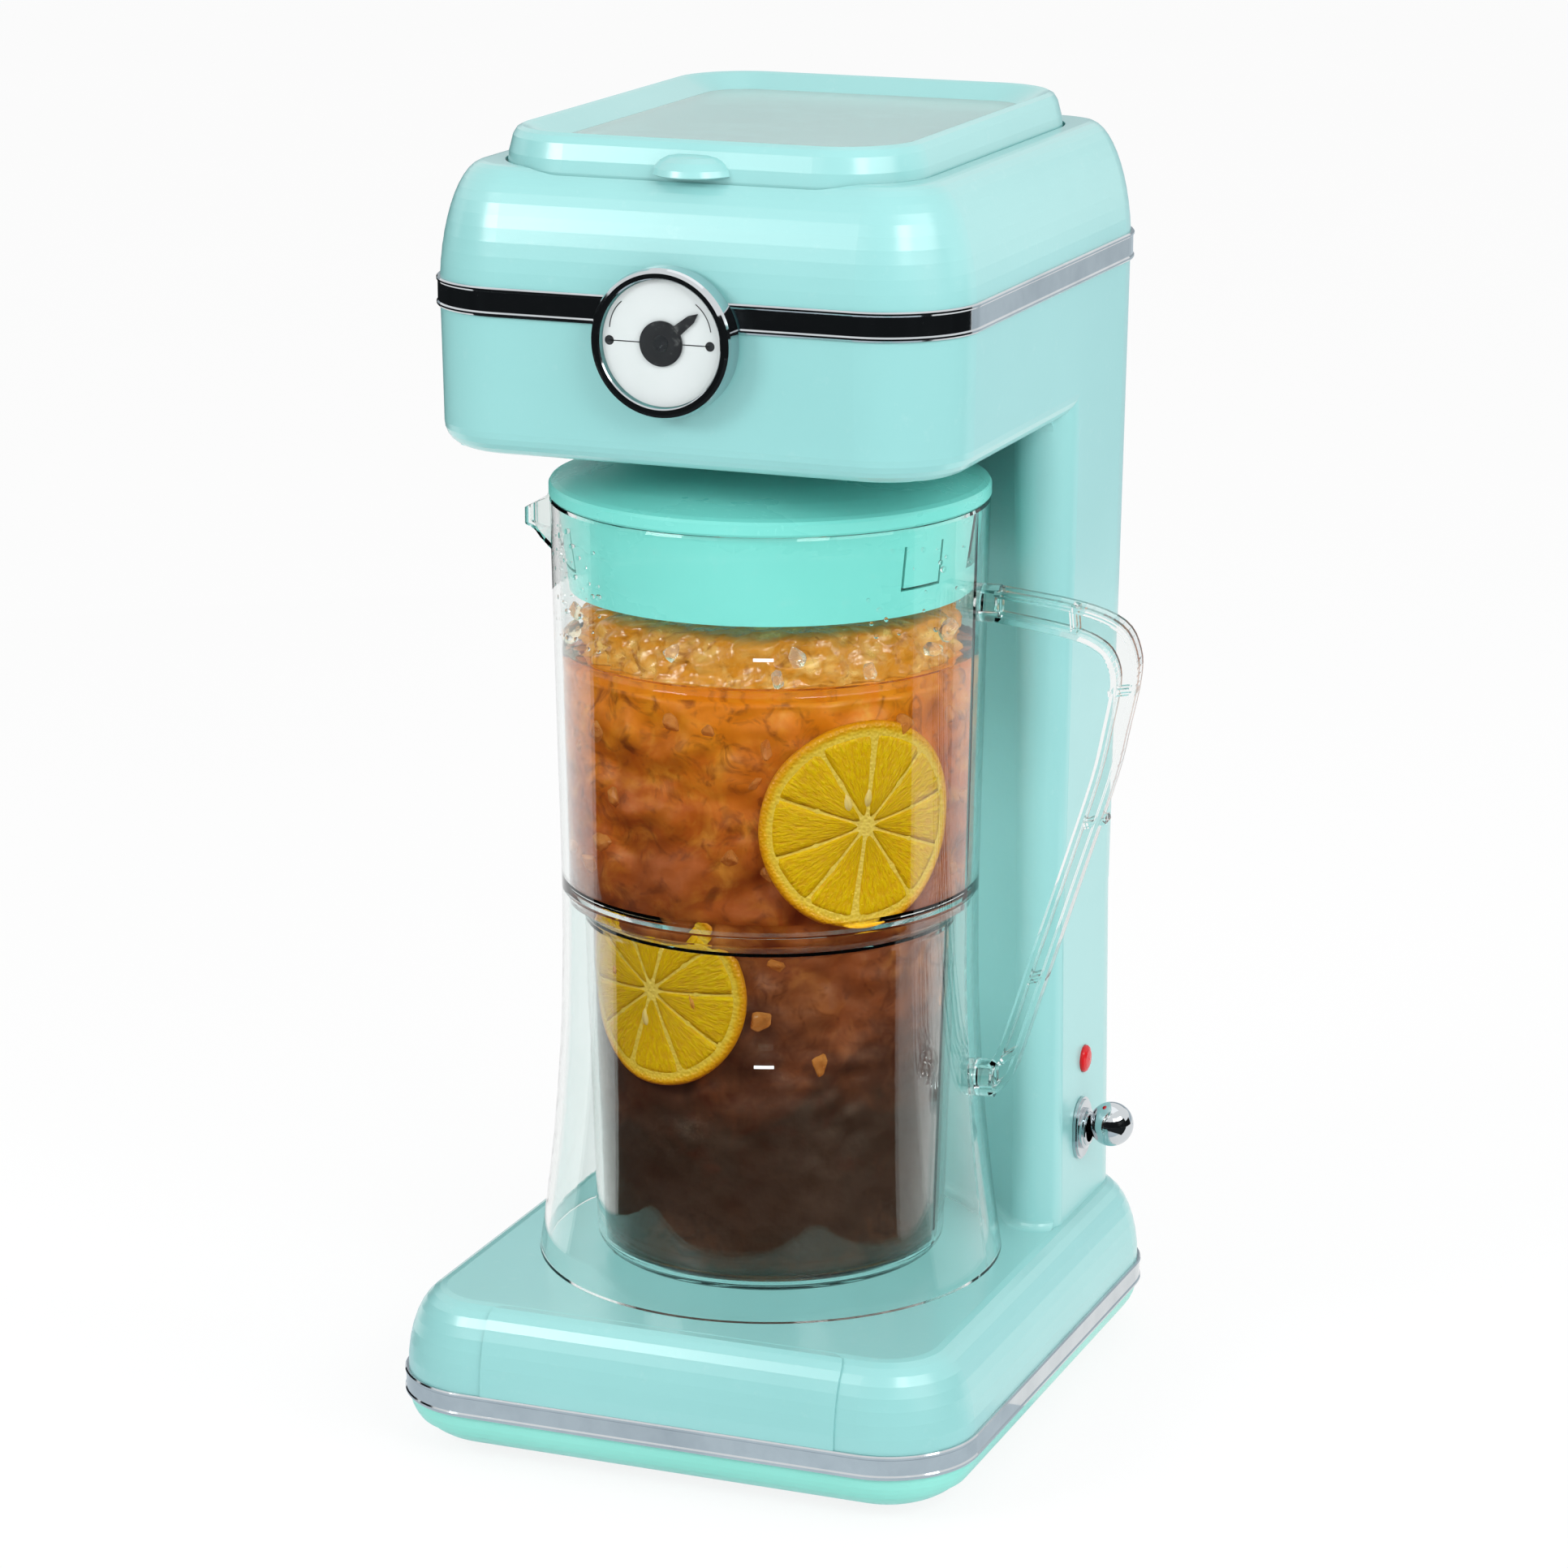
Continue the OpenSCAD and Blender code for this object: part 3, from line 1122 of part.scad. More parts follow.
// Domed pitcher lid with a sunken well for the dripping water
module pitcher_lid() color(pitcher_lid_color) at_pitcher() {
    z = flange_z;
    r = cap_r;
    plug = basket_top_r - basket_wall - 0.4;
    low = cap_top - 6.5;
    difference() {
        rotate_extrude($fn = 120) polygon([[plug - 2.7, z - 6], [plug - 0.9, z - 6], [plug, z], [r - 0.8, z],
            [r, z + 0.8], [r, z + 4], [r - 0.6, z + 5], [r - 2.4, z + 5.8], [r - 12, z + 8.6],
            [r - 24, z + 11.6], [r - 36, z + 14.4], [well_r + 6, cap_top - 0.6], [well_r + 3, cap_top],
            [well_r + 1, cap_top - 0.5], [well_r - 1.4, low], [0, low - 0.8], [0, low - 0.8 - cap_t],
            [well_r - 2.4, low - cap_t], [well_r + 1, cap_top - 2.8], [r - 36, z + 14.4 - cap_t],
            [r - 24, z + 11.6 - cap_t], [r - 12, z + 8.6 - cap_t], [plug - 1.8, z + 6.4 - cap_t]]);
        for (n = [1, 2], k = [0 : 6 * n - 1]) rotate(60 * k / n) translate([6.5 * n, 0, low - 6])
            cylinder(h = 12, r = 1.1, $fn = 20);
        for (k = [0 : 2]) rotate(120 * k - 23) translate([plug - 4, -7.3, z - 4.6]) cube([6, 14.6, 1.7]);
    }
}

// Brew basket that hangs in the pitcher's mouth from the lid
module brew_basket() color(pitcher_lid_color) at_pitcher() {
    b = basket_low_r;
    z = basket_z;
    top = rim_z - 0.6;
    t = basket_wall;
    floor_z = z + 4.5;
    difference() {
        union() {
            rotate_extrude($fn = 120) polygon([[b - t, z], [b, z], [basket_top_r, top],
                [basket_top_r - t, top], [b - t + 0.4, floor_z + 2], [b - t - 3, floor_z + 2],
                [b - t - 3, floor_z], [b - t, floor_z]]);
            translate([0, 0, floor_z]) difference() {
                cylinder(h = 2, r = b - t + 0.1);
                for (k = [0 : 23]) rotate(15 * k) translate([34, -1.6, -1]) cube([24, 3.2, 4]);
                for (k = [0 : 11]) rotate(30 * k) translate([9, -1.6, -1]) cube([19, 3.2, 4]);
            }
            for (k = [0 : 2], a = [-89, -65, -52]) rotate(120 * k + a)
                translate([b - t - 1, -0.8, floor_z]) cube([1.8, 1.6, 16]);
        }
        for (k = [0 : 2]) rotate(120 * k - 23) {
            for (s = [-1, 1]) translate([b - 6, 8.4 * s - 0.5, floor_z + 5]) cube([12, 1, 14]);
            translate([b - 6, -8.9, floor_z + 4]) cube([12, 17.8, 1]);
        }
        rotate(7) translate([b - 6, -8.5, rim_z - 20]) cube([12, 17, 30]);
    }
    for (k = [0 : 2]) rotate(120 * k - 23)
        translate([basket_top_r - t - 1.3, -6.6, flange_z - 4.4]) cube([1.9, 13.2, 1.3]);
}

module filter_ring() color([0.93, 0.95, 0.94]) at_pitcher() translate([0, 0, basket_z + 6.5 + fit])
    rotate_extrude($fn = 96) polygon([[basket_low_r - 10.4, 0], [basket_low_r - 6, 0],
        [basket_low_r - 6, 2], [basket_low_r - 6.6, 2.6], [basket_low_r - 10, 2.6],
        [basket_low_r - 10, 1], [basket_low_r - 10.4, 1]]);

module filter_mesh() color([0.80, 0.82, 0.80]) at_pitcher() translate([0, 0, basket_z + 6.5 + fit])
    linear_extrude(0.6) difference() {
        circle(basket_low_r - 10.5, $fn = 96);
        for (k = [-6 : 6], j = [-6 : 6]) if (norm([k, j]) < 6.6) translate([8 * k, 8 * j])
            square(6.4, center = true);
    }

base_housing();
base_pan();
base_trim();
base_feet();
pan_screws();
heater();
thermostat();
inlet_hose();
riser_hose();
hose_clips();
spray_arm();
reservoir();
outlet_seal();
head_housing();
head_cover();
cover_screws();
head_trim();
rear_cover();
rear_screws();
shower_head();
shower_seal();
dial_seat();
dial_face();
dial_nut();
hinge_pins();
switch_plate();
switch_collar();
switch_body();
lamp_lens();
lamp_body();
cord_gland();
lid_frame();
lid_window();
dial_bezel();
dial_crystal();
dial_pointer();
dial_shaft();
flow_vane();
switch_lever();
switch_ball();
pitcher_vessel();
pitcher_skirt();
pitcher_handle();
pitcher_lid();
brew_basket();
filter_ring();
filter_mesh();
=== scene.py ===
import json
import math
import random
import bpy
import bmesh
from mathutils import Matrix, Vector, noise

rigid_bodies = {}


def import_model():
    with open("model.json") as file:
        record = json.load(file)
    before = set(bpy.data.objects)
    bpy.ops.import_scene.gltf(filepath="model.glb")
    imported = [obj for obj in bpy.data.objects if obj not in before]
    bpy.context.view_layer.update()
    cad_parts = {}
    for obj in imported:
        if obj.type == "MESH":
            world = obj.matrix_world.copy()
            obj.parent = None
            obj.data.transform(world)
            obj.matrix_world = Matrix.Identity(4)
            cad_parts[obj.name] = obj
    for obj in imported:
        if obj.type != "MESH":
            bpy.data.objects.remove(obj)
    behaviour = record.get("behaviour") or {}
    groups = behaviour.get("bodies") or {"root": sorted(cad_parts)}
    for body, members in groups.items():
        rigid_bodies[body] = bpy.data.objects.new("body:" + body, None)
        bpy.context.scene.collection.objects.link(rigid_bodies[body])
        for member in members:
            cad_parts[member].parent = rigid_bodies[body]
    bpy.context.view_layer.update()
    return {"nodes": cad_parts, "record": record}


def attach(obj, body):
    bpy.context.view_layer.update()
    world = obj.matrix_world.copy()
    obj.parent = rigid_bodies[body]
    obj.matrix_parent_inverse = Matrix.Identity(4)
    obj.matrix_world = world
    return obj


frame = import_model()
nodes = frame["nodes"]
mm = 0.001
print("frame loaded:", len(nodes), "nodes")


# shared helpers for node trees

def srgb(r, g, b):
    # linear colour from an ordinary one of 0 to 255
    return tuple(c / 3294.6 if c <= 10 else ((c / 255 + 0.055) / 1.055) ** 2.4
                 for c in (r, g, b)) + (1.0,)


def newFinish(name):
    mat = bpy.data.materials.new(name)
    mat.use_nodes = True
    tree = mat.node_tree
    tree.nodes.clear()
    shader = tree.nodes.new("ShaderNodeBsdfPrincipled")
    surface = tree.nodes.new("ShaderNodeOutputMaterial")
    tree.links.new(shader.outputs["BSDF"], surface.inputs["Surface"])
    return mat, tree, shader


def objectPlace(tree, stretch=(1, 1, 1), turn=(0, 0, 0)):
    place = tree.nodes.new("ShaderNodeTexCoord")
    mapping = tree.nodes.new("ShaderNodeMapping")
    mapping.inputs["Rotation"].default_value = turn
    mapping.inputs["Scale"].default_value = stretch
    tree.links.new(place.outputs["Object"], mapping.inputs["Vector"])
    return mapping.outputs["Vector"]


def cloud(tree, place, scale, detail=3.0, rough=0.5, distort=0.0):
    field = tree.nodes.new("ShaderNodeTexNoise")
    field.inputs["Scale"].default_value = scale
    field.inputs["Detail"].default_value = detail
    field.inputs["Roughness"].default_value = rough
    field.inputs["Distortion"].default_value = distort
    tree.links.new(place, field.inputs["Vector"])
    return field.outputs[0]


def cells(tree, place, scale, feature="F1", blur=0.0):
    field = tree.nodes.new("ShaderNodeTexVoronoi")
    field.feature = feature
    field.inputs["Scale"].default_value = scale
    if feature == "SMOOTH_F1":
        field.inputs["Smoothness"].default_value = blur
    tree.links.new(place, field.inputs["Vector"])
    return field.outputs["Distance"]


def remap(tree, value, low, high, toLow, toHigh):
    step = tree.nodes.new("ShaderNodeMapRange")
    for key, number in (("From Min", low), ("From Max", high), ("To Min", toLow), ("To Max", toHigh)):
        step.inputs[key].default_value = number
    tree.links.new(value, step.inputs["Value"])
    return step.outputs["Result"]


def combine(tree, operation, first, second):
    step = tree.nodes.new("ShaderNodeMath")
    step.operation = operation
    for k, value in enumerate((first, second)):
        if isinstance(value, (int, float)):
            step.inputs[k].default_value = value
        else:
            tree.links.new(value, step.inputs[k])
    return step.outputs[0]


def blend(tree, share, first, second):
    step = tree.nodes.new("ShaderNodeMix")
    step.data_type = "RGBA"
    for socket, value in ((step.inputs[0], share), (step.inputs[6], first), (step.inputs[7], second)):
        if isinstance(value, (int, float, tuple)):
            socket.default_value = value
        else:
            tree.links.new(value, socket)
    return step.outputs[2]


def ramp(tree, value, stops):
    step = tree.nodes.new("ShaderNodeValToRGB")
    while len(step.color_ramp.elements) < len(stops):
        step.color_ramp.elements.new(0.5)
    for element, (place, colour) in zip(step.color_ramp.elements, stops):
        element.position = place
        element.color = colour
    tree.links.new(value, step.inputs["Fac"])
    return step.outputs["Color"]


def relief(tree, shader, height, depth, strength=1.0, under=None):
    step = tree.nodes.new("ShaderNodeBump")
    step.inputs["Strength"].default_value = strength
    step.inputs["Distance"].default_value = depth
    tree.links.new(height, step.inputs["Height"])
    if under is not None:
        tree.links.new(under, step.inputs["Normal"])
    tree.links.new(step.outputs["Normal"], shader.inputs["Normal"])
    return step.outputs["Normal"]


def mouldedFinish(name, look):
    # moulded plastic or rubber: close shades, wiped gloss, fine scuffs, faint orange peel
    mat, tree, shader = newFinish(name)
    place = objectPlace(tree)
    mottle = remap(tree, cloud(tree, place, look["mottle"], 3), 0.35, 0.65, 0, 1)
    colour = blend(tree, mottle, look["colour"], look["shade"])
    dust = remap(tree, cloud(tree, place, look["dust"], 4, 0.7), 0.6, 0.75, 0, look["dustShare"])
    colour = blend(tree, dust, colour, look["dustColour"])
    tree.links.new(colour, shader.inputs["Base Color"])
    wiped = cloud(tree, objectPlace(tree, look["wipeStretch"]), look["wipe"], 4, 0.6)
    rough = remap(tree, wiped, 0.3, 0.7, look["rough"] - look["spread"], look["rough"] + look["spread"])
    lines = cloud(tree, objectPlace(tree, (1, 9, 1), (0.5, 0.3, 0.7)), look["scuff"], 2, 0.5)
    scuffs = remap(tree, lines, 0.66, 0.72, 0, look["scuffShare"])
    tree.links.new(combine(tree, "ADD", rough, scuffs), shader.inputs["Roughness"])
    peel = relief(tree, shader, cloud(tree, place, look["peel"], 2), look["peelDepth"], 0.6)
    relief(tree, shader, lines, look["scuffDepth"], 0.25, peel)
    shader.inputs["IOR"].default_value = look["ior"]
    if look["coat"]:
        shader.inputs["Coat Weight"].default_value = look["coat"]
        shader.inputs["Coat Roughness"].default_value = 0.2
    return mat


def metalFinish(name, look):
    # plated or turned metal: smudges, hairlines, a little unevenness
    mat, tree, shader = newFinish(name)
    place = objectPlace(tree)
    smudge = remap(tree, cloud(tree, place, look["smudge"], 4, 0.6), 0.4, 0.7, 0, 1)
    tree.links.new(blend(tree, smudge, look["colour"], look["shade"]), shader.inputs["Base Color"])
    shader.inputs["Metallic"].default_value = 1.0
    rough = remap(tree, smudge, 0, 1, look["rough"], look["rough"] + look["spread"])
    hair = cloud(tree, objectPlace(tree, look["hairStretch"]), look["hair"], 3, 0.6)
    hairRough = remap(tree, hair, 0.55, 0.75, 0, look["hairShare"])
    tree.links.new(combine(tree, "ADD", rough, hairRough), shader.inputs["Roughness"])
    ripple = relief(tree, shader, cloud(tree, place, look["ripple"], 2), look["rippleDepth"], 0.5)
    relief(tree, shader, hair, look["hairDepth"], 0.3, ripple)
    return mat


def clearFinish(name, look):
    # clear moulding: faint tint, smears that dull it, soft flow waves
    mat, tree, shader = newFinish(name)
    place = objectPlace(tree)
    smear = remap(tree, cloud(tree, objectPlace(tree, (1, 1, 0.4)), look["smear"], 5, 0.6), 0.5, 0.75, 0, 1)
    tree.links.new(blend(tree, smear, look["colour"], look["shade"]), shader.inputs["Base Color"])
    rough = remap(tree, smear, 0, 1, look["rough"], look["rough"] + look["spread"])
    tree.links.new(rough, shader.inputs["Roughness"])
    shader.inputs["Transmission Weight"].default_value = look["clear"]
    shader.inputs["IOR"].default_value = look["ior"]
    waves = relief(tree, shader, cloud(tree, place, look["wave"], 1), look["waveDepth"], 0.5)
    relief(tree, shader, cloud(tree, place, look["pit"], 2), look["pitDepth"], 0.3, waves)
    return mat


# finishes of the machine's own parts, one for each slot of the record

plainMould = dict(mottle=9, dust=160, dustShare=0.05, dustColour=srgb(236, 240, 238), wipe=14,
                  wipeStretch=(1, 1, 3), rough=0.2, spread=0.02, scuff=240, scuffShare=0.02,
                  scuffDepth=0.000004, peel=700, peelDepth=0.00003, ior=1.5, coat=0)
plainMetal = dict(smudge=40, rough=0.05, spread=0.08, hair=500, hairStretch=(1, 12, 1),
                  hairShare=0.05, hairDepth=0.000005, ripple=60, rippleDepth=0.00002)
plainClear = dict(smear=22, rough=0.0, spread=0.05, clear=1.0, ior=1.36, wave=16, waveDepth=0.00005,
                  pit=900, pitDepth=0.000006)

slotLooks = {
    "aqua_shell": (mouldedFinish, dict(plainMould, colour=srgb(142, 199, 198), shade=srgb(137, 195, 194),
                                       rough=0.3, coat=0.55)),
    "pan_plastic": (mouldedFinish, dict(plainMould, colour=srgb(140, 216, 204), shade=srgb(132, 210, 197),
                                        rough=0.3)),
    "mint_plastic": (mouldedFinish, dict(plainMould, colour=srgb(118, 208, 198), shade=srgb(110, 202, 191),
                                         rough=0.28)),
    "bright_trim": (metalFinish, dict(plainMetal, colour=srgb(206, 211, 214), shade=srgb(190, 196, 200))),
    "clear_plastic": (clearFinish, dict(plainClear, colour=srgb(250, 253, 252),
                                        shade=srgb(243, 248, 246))),
    "window_plastic": (clearFinish, dict(plainClear, colour=srgb(206, 240, 236),
                                         shade=srgb(198, 235, 231), clear=0.5, rough=0.2, spread=0.08)),
    "dial_white": (mouldedFinish, dict(plainMould, colour=srgb(216, 220, 221), shade=srgb(209, 214, 215),
                                       rough=0.35)),
    "white_plastic": (mouldedFinish, dict(plainMould, colour=srgb(232, 235, 233),
                                          shade=srgb(222, 227, 225), rough=0.38)),
    "dark_plastic": (mouldedFinish, dict(plainMould, colour=srgb(38, 40, 44), shade=srgb(28, 30, 33),
                                         rough=0.42, dustShare=0.12)),
    "black_rubber": (mouldedFinish, dict(plainMould, colour=srgb(42, 44, 45), shade=srgb(30, 31, 33),
                                         rough=0.68, spread=0.1, dustShare=0.3, peel=1400)),
    "hose_silicone": (mouldedFinish, dict(plainMould, colour=srgb(228, 228, 220),
                                          shade=srgb(214, 215, 206), rough=0.45)),
    "grey_silicone": (mouldedFinish, dict(plainMould, colour=srgb(92, 95, 96), shade=srgb(78, 82, 83),
                                          rough=0.5)),
    "cast_aluminium": (metalFinish, dict(plainMetal, colour=srgb(196, 198, 200), shade=srgb(164, 167, 170),
                                         rough=0.42, spread=0.15, ripple=500, rippleDepth=0.0002)),
    "steel": (metalFinish, dict(plainMetal, colour=srgb(200, 203, 206), shade=srgb(176, 180, 184),
                                rough=0.22, spread=0.12, hairShare=0.15)),
    "red_lens": (clearFinish, dict(plainClear, colour=srgb(238, 40, 46), shade=srgb(214, 24, 32),
                                   clear=0.35, rough=0.08, spread=0.06)),
}

finishes = {slot: make(slot, look) for slot, (make, look) in slotLooks.items()}
for part in frame["record"]["subparts"]:
    for holder in nodes[part["node"]].material_slots:
        holder.material = finishes[part["material_slot"]]
print("finishes set on the machine:", len(finishes))


# mesh helpers: every point is given in millimetres

pitcherY = -11.1


def newObject(name, data):
    thing = bpy.data.objects.new(name, data)
    bpy.context.scene.collection.objects.link(thing)
    return thing


def newMesh(name, points, faces):
    mesh = bpy.data.meshes.new(name)
    mesh.from_pydata([(x * mm, y * mm, z * mm) for x, y, z in points], [], faces)
    return mesh


def faceOutward(mesh, merge=False):
    # turns the faces outwards, and makes one point of those that coincide
    form = bmesh.new()
    form.from_mesh(mesh)
    if merge:
        bmesh.ops.remove_doubles(form, verts=form.verts, dist=1e-7)
    bmesh.ops.recalc_face_normals(form, faces=form.faces)
    form.to_mesh(mesh)
    form.free()


def newPiece(name, points, faces, finish, body, smooth=True):
    mesh = newMesh(name, points, faces)
    faceOutward(mesh, merge=True)
    mesh.polygons.foreach_set("use_smooth", [smooth] * len(mesh.polygons))
    mesh.materials.append(finish)
    piece = newObject(name, mesh)
    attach(piece, body)


def ringFaces(rows, steps, first=0, poles=False):
    # quads between closed rings of points, and fans to the two poles that follow the rings
    faces = []
    for k in range(rows - 1):
        for j in range(steps):
            a, b = first + k * steps + j, first + k * steps + (j + 1) % steps
            faces.append((a, b, b + steps, a + steps))
    last, pole = (rows - 1) * steps, rows * steps
    for j in range(steps if poles else 0):
        faces.append((pole, (j + 1) % steps, j))
        faces.append((pole + 1, last + j, last + (j + 1) % steps))
    return faces


def sheetFaces(rows, steps, first=0):
    # quads of an open sheet, with one more point than steps in each row
    faces = []
    for k in range(rows - 1):
        for j in range(steps):
            a = first + k * (steps + 1) + j
            faces.append((a, a + 1, a + steps + 2, a + steps + 1))
    return faces


def barFaces(rows):
    # closed bar through rows of four corners
    end = 4 * (rows - 1)
    return ringFaces(rows, 4) + [(0, 1, 2, 3), (end + 3, end + 2, end + 1, end)]


def aroundPitcher(radius, angle, z):
    return (radius * math.cos(angle), pitcherY + radius * math.sin(angle), z)


def turned(profile, steps, bulge=None):
    # points and faces of a closed form turned about the pitcher's axis, poles at both ends
    points = []
    for radius, z in profile:
        for j in range(steps):
            angle = 2 * math.pi * j / steps
            r = radius + (bulge(radius, angle, z) if bulge else 0)
            points.append(aroundPitcher(r, angle, z))
    points += [(0, pitcherY, profile[0][1]), (0, pitcherY, profile[-1][1])]
    return points, ringFaces(len(profile), steps, poles=True)


def wallRadius(z):
    # inside of the pitcher at a height
    places = ((59.0, 53.6), (59.6, 55.6), (60.7, 56.7), (62.6, 57.2), (173, 60.6), (175.4, 61.0),
              (180, 65.6), (183.5, 65.6), (188, 68.2), (316.7, 70.9))
    for (z0, r0), (z1, r1) in zip(places, places[1:]):
        if z <= z1:
            return r0 + (r1 - r0) * max(0, (z - z0) / (z1 - z0))
    return places[-1][1]


# tea: a clear tinted liquid round a cloudy heart of ice and tea

tea = dict(level=266.0, gap=0.2, meniscus=1.6, steps=128, ior=1.33, through=(0.86, 0.5, 0.16, 1), density=34)
heart = dict(low=61.5, high=261.0, rows=110, steps=150, depth=7.5, footDepth=5.0, footTop=70, footFade=60,
             footRound=3, lump=3.2, lumpScale=0.075, calmBelow=85, calmFade=75)
# colours of the heart from its foot at 0 to the surface at 1, heights in metres; over the tea's own colour
# they carry painted light, bright amber at the top and a little lighter at the very foot, and painted shade,
# nearly black towards the bottom
heartLook = dict(
    foot=0.062, surface=0.266, wander=0.02, iceFrom=0.105, iceFull=0.16,
    body=((0.0, srgb(84, 54, 38)), (0.05, srgb(70, 46, 35)), (0.22, srgb(62, 44, 34)),
          (0.36, srgb(104, 62, 42)), (0.46, srgb(152, 88, 50)), (0.6, srgb(170, 90, 32)),
          (0.78, srgb(206, 108, 16)), (0.96, srgb(248, 152, 8))),
    ice=((0.0, srgb(104, 68, 50)), (0.25, srgb(96, 68, 56)), (0.38, srgb(184, 128, 94)),
         (0.62, srgb(224, 152, 70)), (0.96, srgb(255, 198, 64))),
    veins=((0.0, srgb(44, 28, 20)), (0.45, srgb(98, 44, 20)), (1.0, srgb(150, 76, 14))))


def liquidFinish():
    mat, tree, shader = newFinish("teaLiquid")
    place = objectPlace(tree)
    tint = remap(tree, cloud(tree, place, 30, 3), 0.3, 0.7, 0, 1)
    colour = blend(tree, tint, srgb(255, 244, 224), srgb(255, 238, 210))
    tree.links.new(colour, shader.inputs["Base Color"])
    tree.links.new(remap(tree, tint, 0, 1, 0.0, 0.03), shader.inputs["Roughness"])
    shader.inputs["Transmission Weight"].default_value = 1.0
    shader.inputs["IOR"].default_value = tea["ior"]
    relief(tree, shader, cloud(tree, place, 70, 2), 0.0001, 0.4)
    inside = tree.nodes.new("ShaderNodeVolumeAbsorption")
    inside.inputs["Color"].default_value = tea["through"]
    inside.inputs["Density"].default_value = tea["density"]
    surface = next(n for n in tree.nodes if n.type == "OUTPUT_MATERIAL")
    tree.links.new(inside.outputs["Volume"], surface.inputs["Volume"])
    return mat


def heartFinish():
    # amber at the top, red-brown in the middle, nearly black below, with pale crushed ice in it; the change
    # with height is painted light at the top and painted shade below, over the tea's own colour
    mat, tree, shader = newFinish("teaHeart")
    place = objectPlace(tree)
    height = tree.nodes.new("ShaderNodeSeparateXYZ")
    tree.links.new(place, height.inputs["Vector"])
    look = heartLook
    swirl = remap(tree, cloud(tree, place, 34, 4, 0.55, 0.6), 0.3, 0.7, -look["wander"], look["wander"])
    level = combine(tree, "ADD", height.outputs["Z"], swirl)
    level = remap(tree, level, look["foot"], look["surface"], 0, 1)
    # body, pale ice and veins all follow the height: painted light at the top, painted shade towards the
    # bottom
    body = ramp(tree, level, look["body"])
    pale = ramp(tree, level, look["ice"])
    chips = cells(tree, place, 85, "SMOOTH_F1", 0.35)
    patches = remap(tree, cloud(tree, place, 62, 5, 0.62, 0.8), 0.46, 0.66, 0, 1)
    share = combine(tree, "MULTIPLY", patches, remap(tree, chips, 0.1, 0.5, 1, 0.35))
    iceLevel = remap(tree, height.outputs["Z"], look["iceFrom"], look["iceFull"], 0.12, 1)
    colour = blend(tree, combine(tree, "MULTIPLY", share, iceLevel), body, pale)
    veins = remap(tree, cloud(tree, place, 95, 4, 0.62, 1.5), 0.52, 0.7, 0, 0.7)
    colour = blend(tree, veins, colour, ramp(tree, level, look["veins"]))
    tree.links.new(colour, shader.inputs["Base Color"])
    rough = remap(tree, patches, 0, 1, 0.55, 0.3)
    tree.links.new(rough, shader.inputs["Roughness"])
    lumps = relief(tree, shader, chips, 0.0012, 0.5)
    relief(tree, shader, cloud(tree, place, 220, 3), 0.0006, 0.4, lumps)
    return mat


def teaProfile():
    gap, top = tea["gap"], tea["level"]
    foot = [(r, z + gap) for r, z in ((53.4, 59.0), (55.5, 59.6), (56.5, 60.8))]
    heights = [62.6 + 10 * k for k in range(12)] + [175.4, 180, 183.5, 188, 200, 220, 240, 258, 263]
    walls = [(wallRadius(z) - gap, z) for z in heights]
    edge = wallRadius(top) - gap
    tops = [(edge, top + tea["meniscus"]), (edge - 0.5, top + 0.7), (edge - 1.6, top + 0.2),
            (edge - 4, top), (edge - 20, top), (20, top)]
    return foot + walls + tops


def heartLump(radius, angle, z):
    spot = Vector((radius * math.cos(angle), radius * math.sin(angle), z)) * heart["lumpScale"]
    share = min(1.0, max(0.06, (z - heart["calmBelow"]) / heart["calmFade"])) * min(1.0, radius / 30)
    return heart["lump"] * share * (noise.fractal(spot, 0.8, 2.1, 3) - 0.15)


def heartRadius(z):
    # close to the wall at the foot, with its lowest edge rounded
    closer = heart["footDepth"] * min(1, max(0, 1 - (z - heart["footTop"]) / heart["footFade"]))
    rounded = heart["footRound"] * max(0, 1 - (z - heart["low"]) / 3) ** 2
    return wallRadius(z) - heart["depth"] + closer - rounded


teaPoints, teaFaces = turned(teaProfile(), tea["steps"])
newPiece("teaLiquid", teaPoints, teaFaces, liquidFinish(), "pitcher")

tall, rows = heart["high"] - heart["low"], heart["rows"]
heartHeights = [heart["low"] + tall * k / rows for k in range(rows + 1)]
heartProfile = [(12, heart["low"]), (30, heart["low"])] + [(heartRadius(z), z) for z in heartHeights]
heartProfile += [(radius, heart["high"]) for radius in (50, 36, 18)]
heartPoints, heartFaces = turned(heartProfile, heart["steps"], heartLump)
newPiece("teaHeart", heartPoints, heartFaces, heartFinish(), "pitcher")
print("tea poured")


# heap of crushed ice that stands out of the tea

heap = dict(low=250, tuckTop=261, bareFrom=265, shoulder=272, high=282, tuckRadius=57, radius=62.5,
            shoulderDrop=3.5, lump=4.2, lumpScale=0.16, steps=200)
heapLook = dict(wet=srgb(206, 134, 34), frosted=srgb(244, 204, 116), deep=srgb(150, 88, 26), clear=0.25)


def heapFinish():
    mat, tree, shader = newFinish("iceHeap")
    place = objectPlace(tree)
    chips = cells(tree, place, 150, "SMOOTH_F1", 0.2)
    frost = remap(tree, cloud(tree, place, 95, 5, 0.65, 0.7), 0.4, 0.62, 0, 1)
    share = combine(tree, "MULTIPLY", frost, remap(tree, chips, 0.1, 0.6, 1, 0.2))
    colour = blend(tree, share, heapLook["wet"], heapLook["frosted"])
    deep = remap(tree, cloud(tree, place, 130, 3, 0.6, 1.2), 0.56, 0.7, 0, 0.8)
    colour = blend(tree, deep, colour, heapLook["deep"])
    tree.links.new(colour, shader.inputs["Base Color"])
    tree.links.new(remap(tree, share, 0, 1, 0.12, 0.4), shader.inputs["Roughness"])
    shader.inputs["Transmission Weight"].default_value = heapLook["clear"]
    lumps = relief(tree, shader, chips, 0.0016, 0.7)
    relief(tree, shader, cloud(tree, place, 420, 3), 0.0005, 0.4, lumps)
    return mat


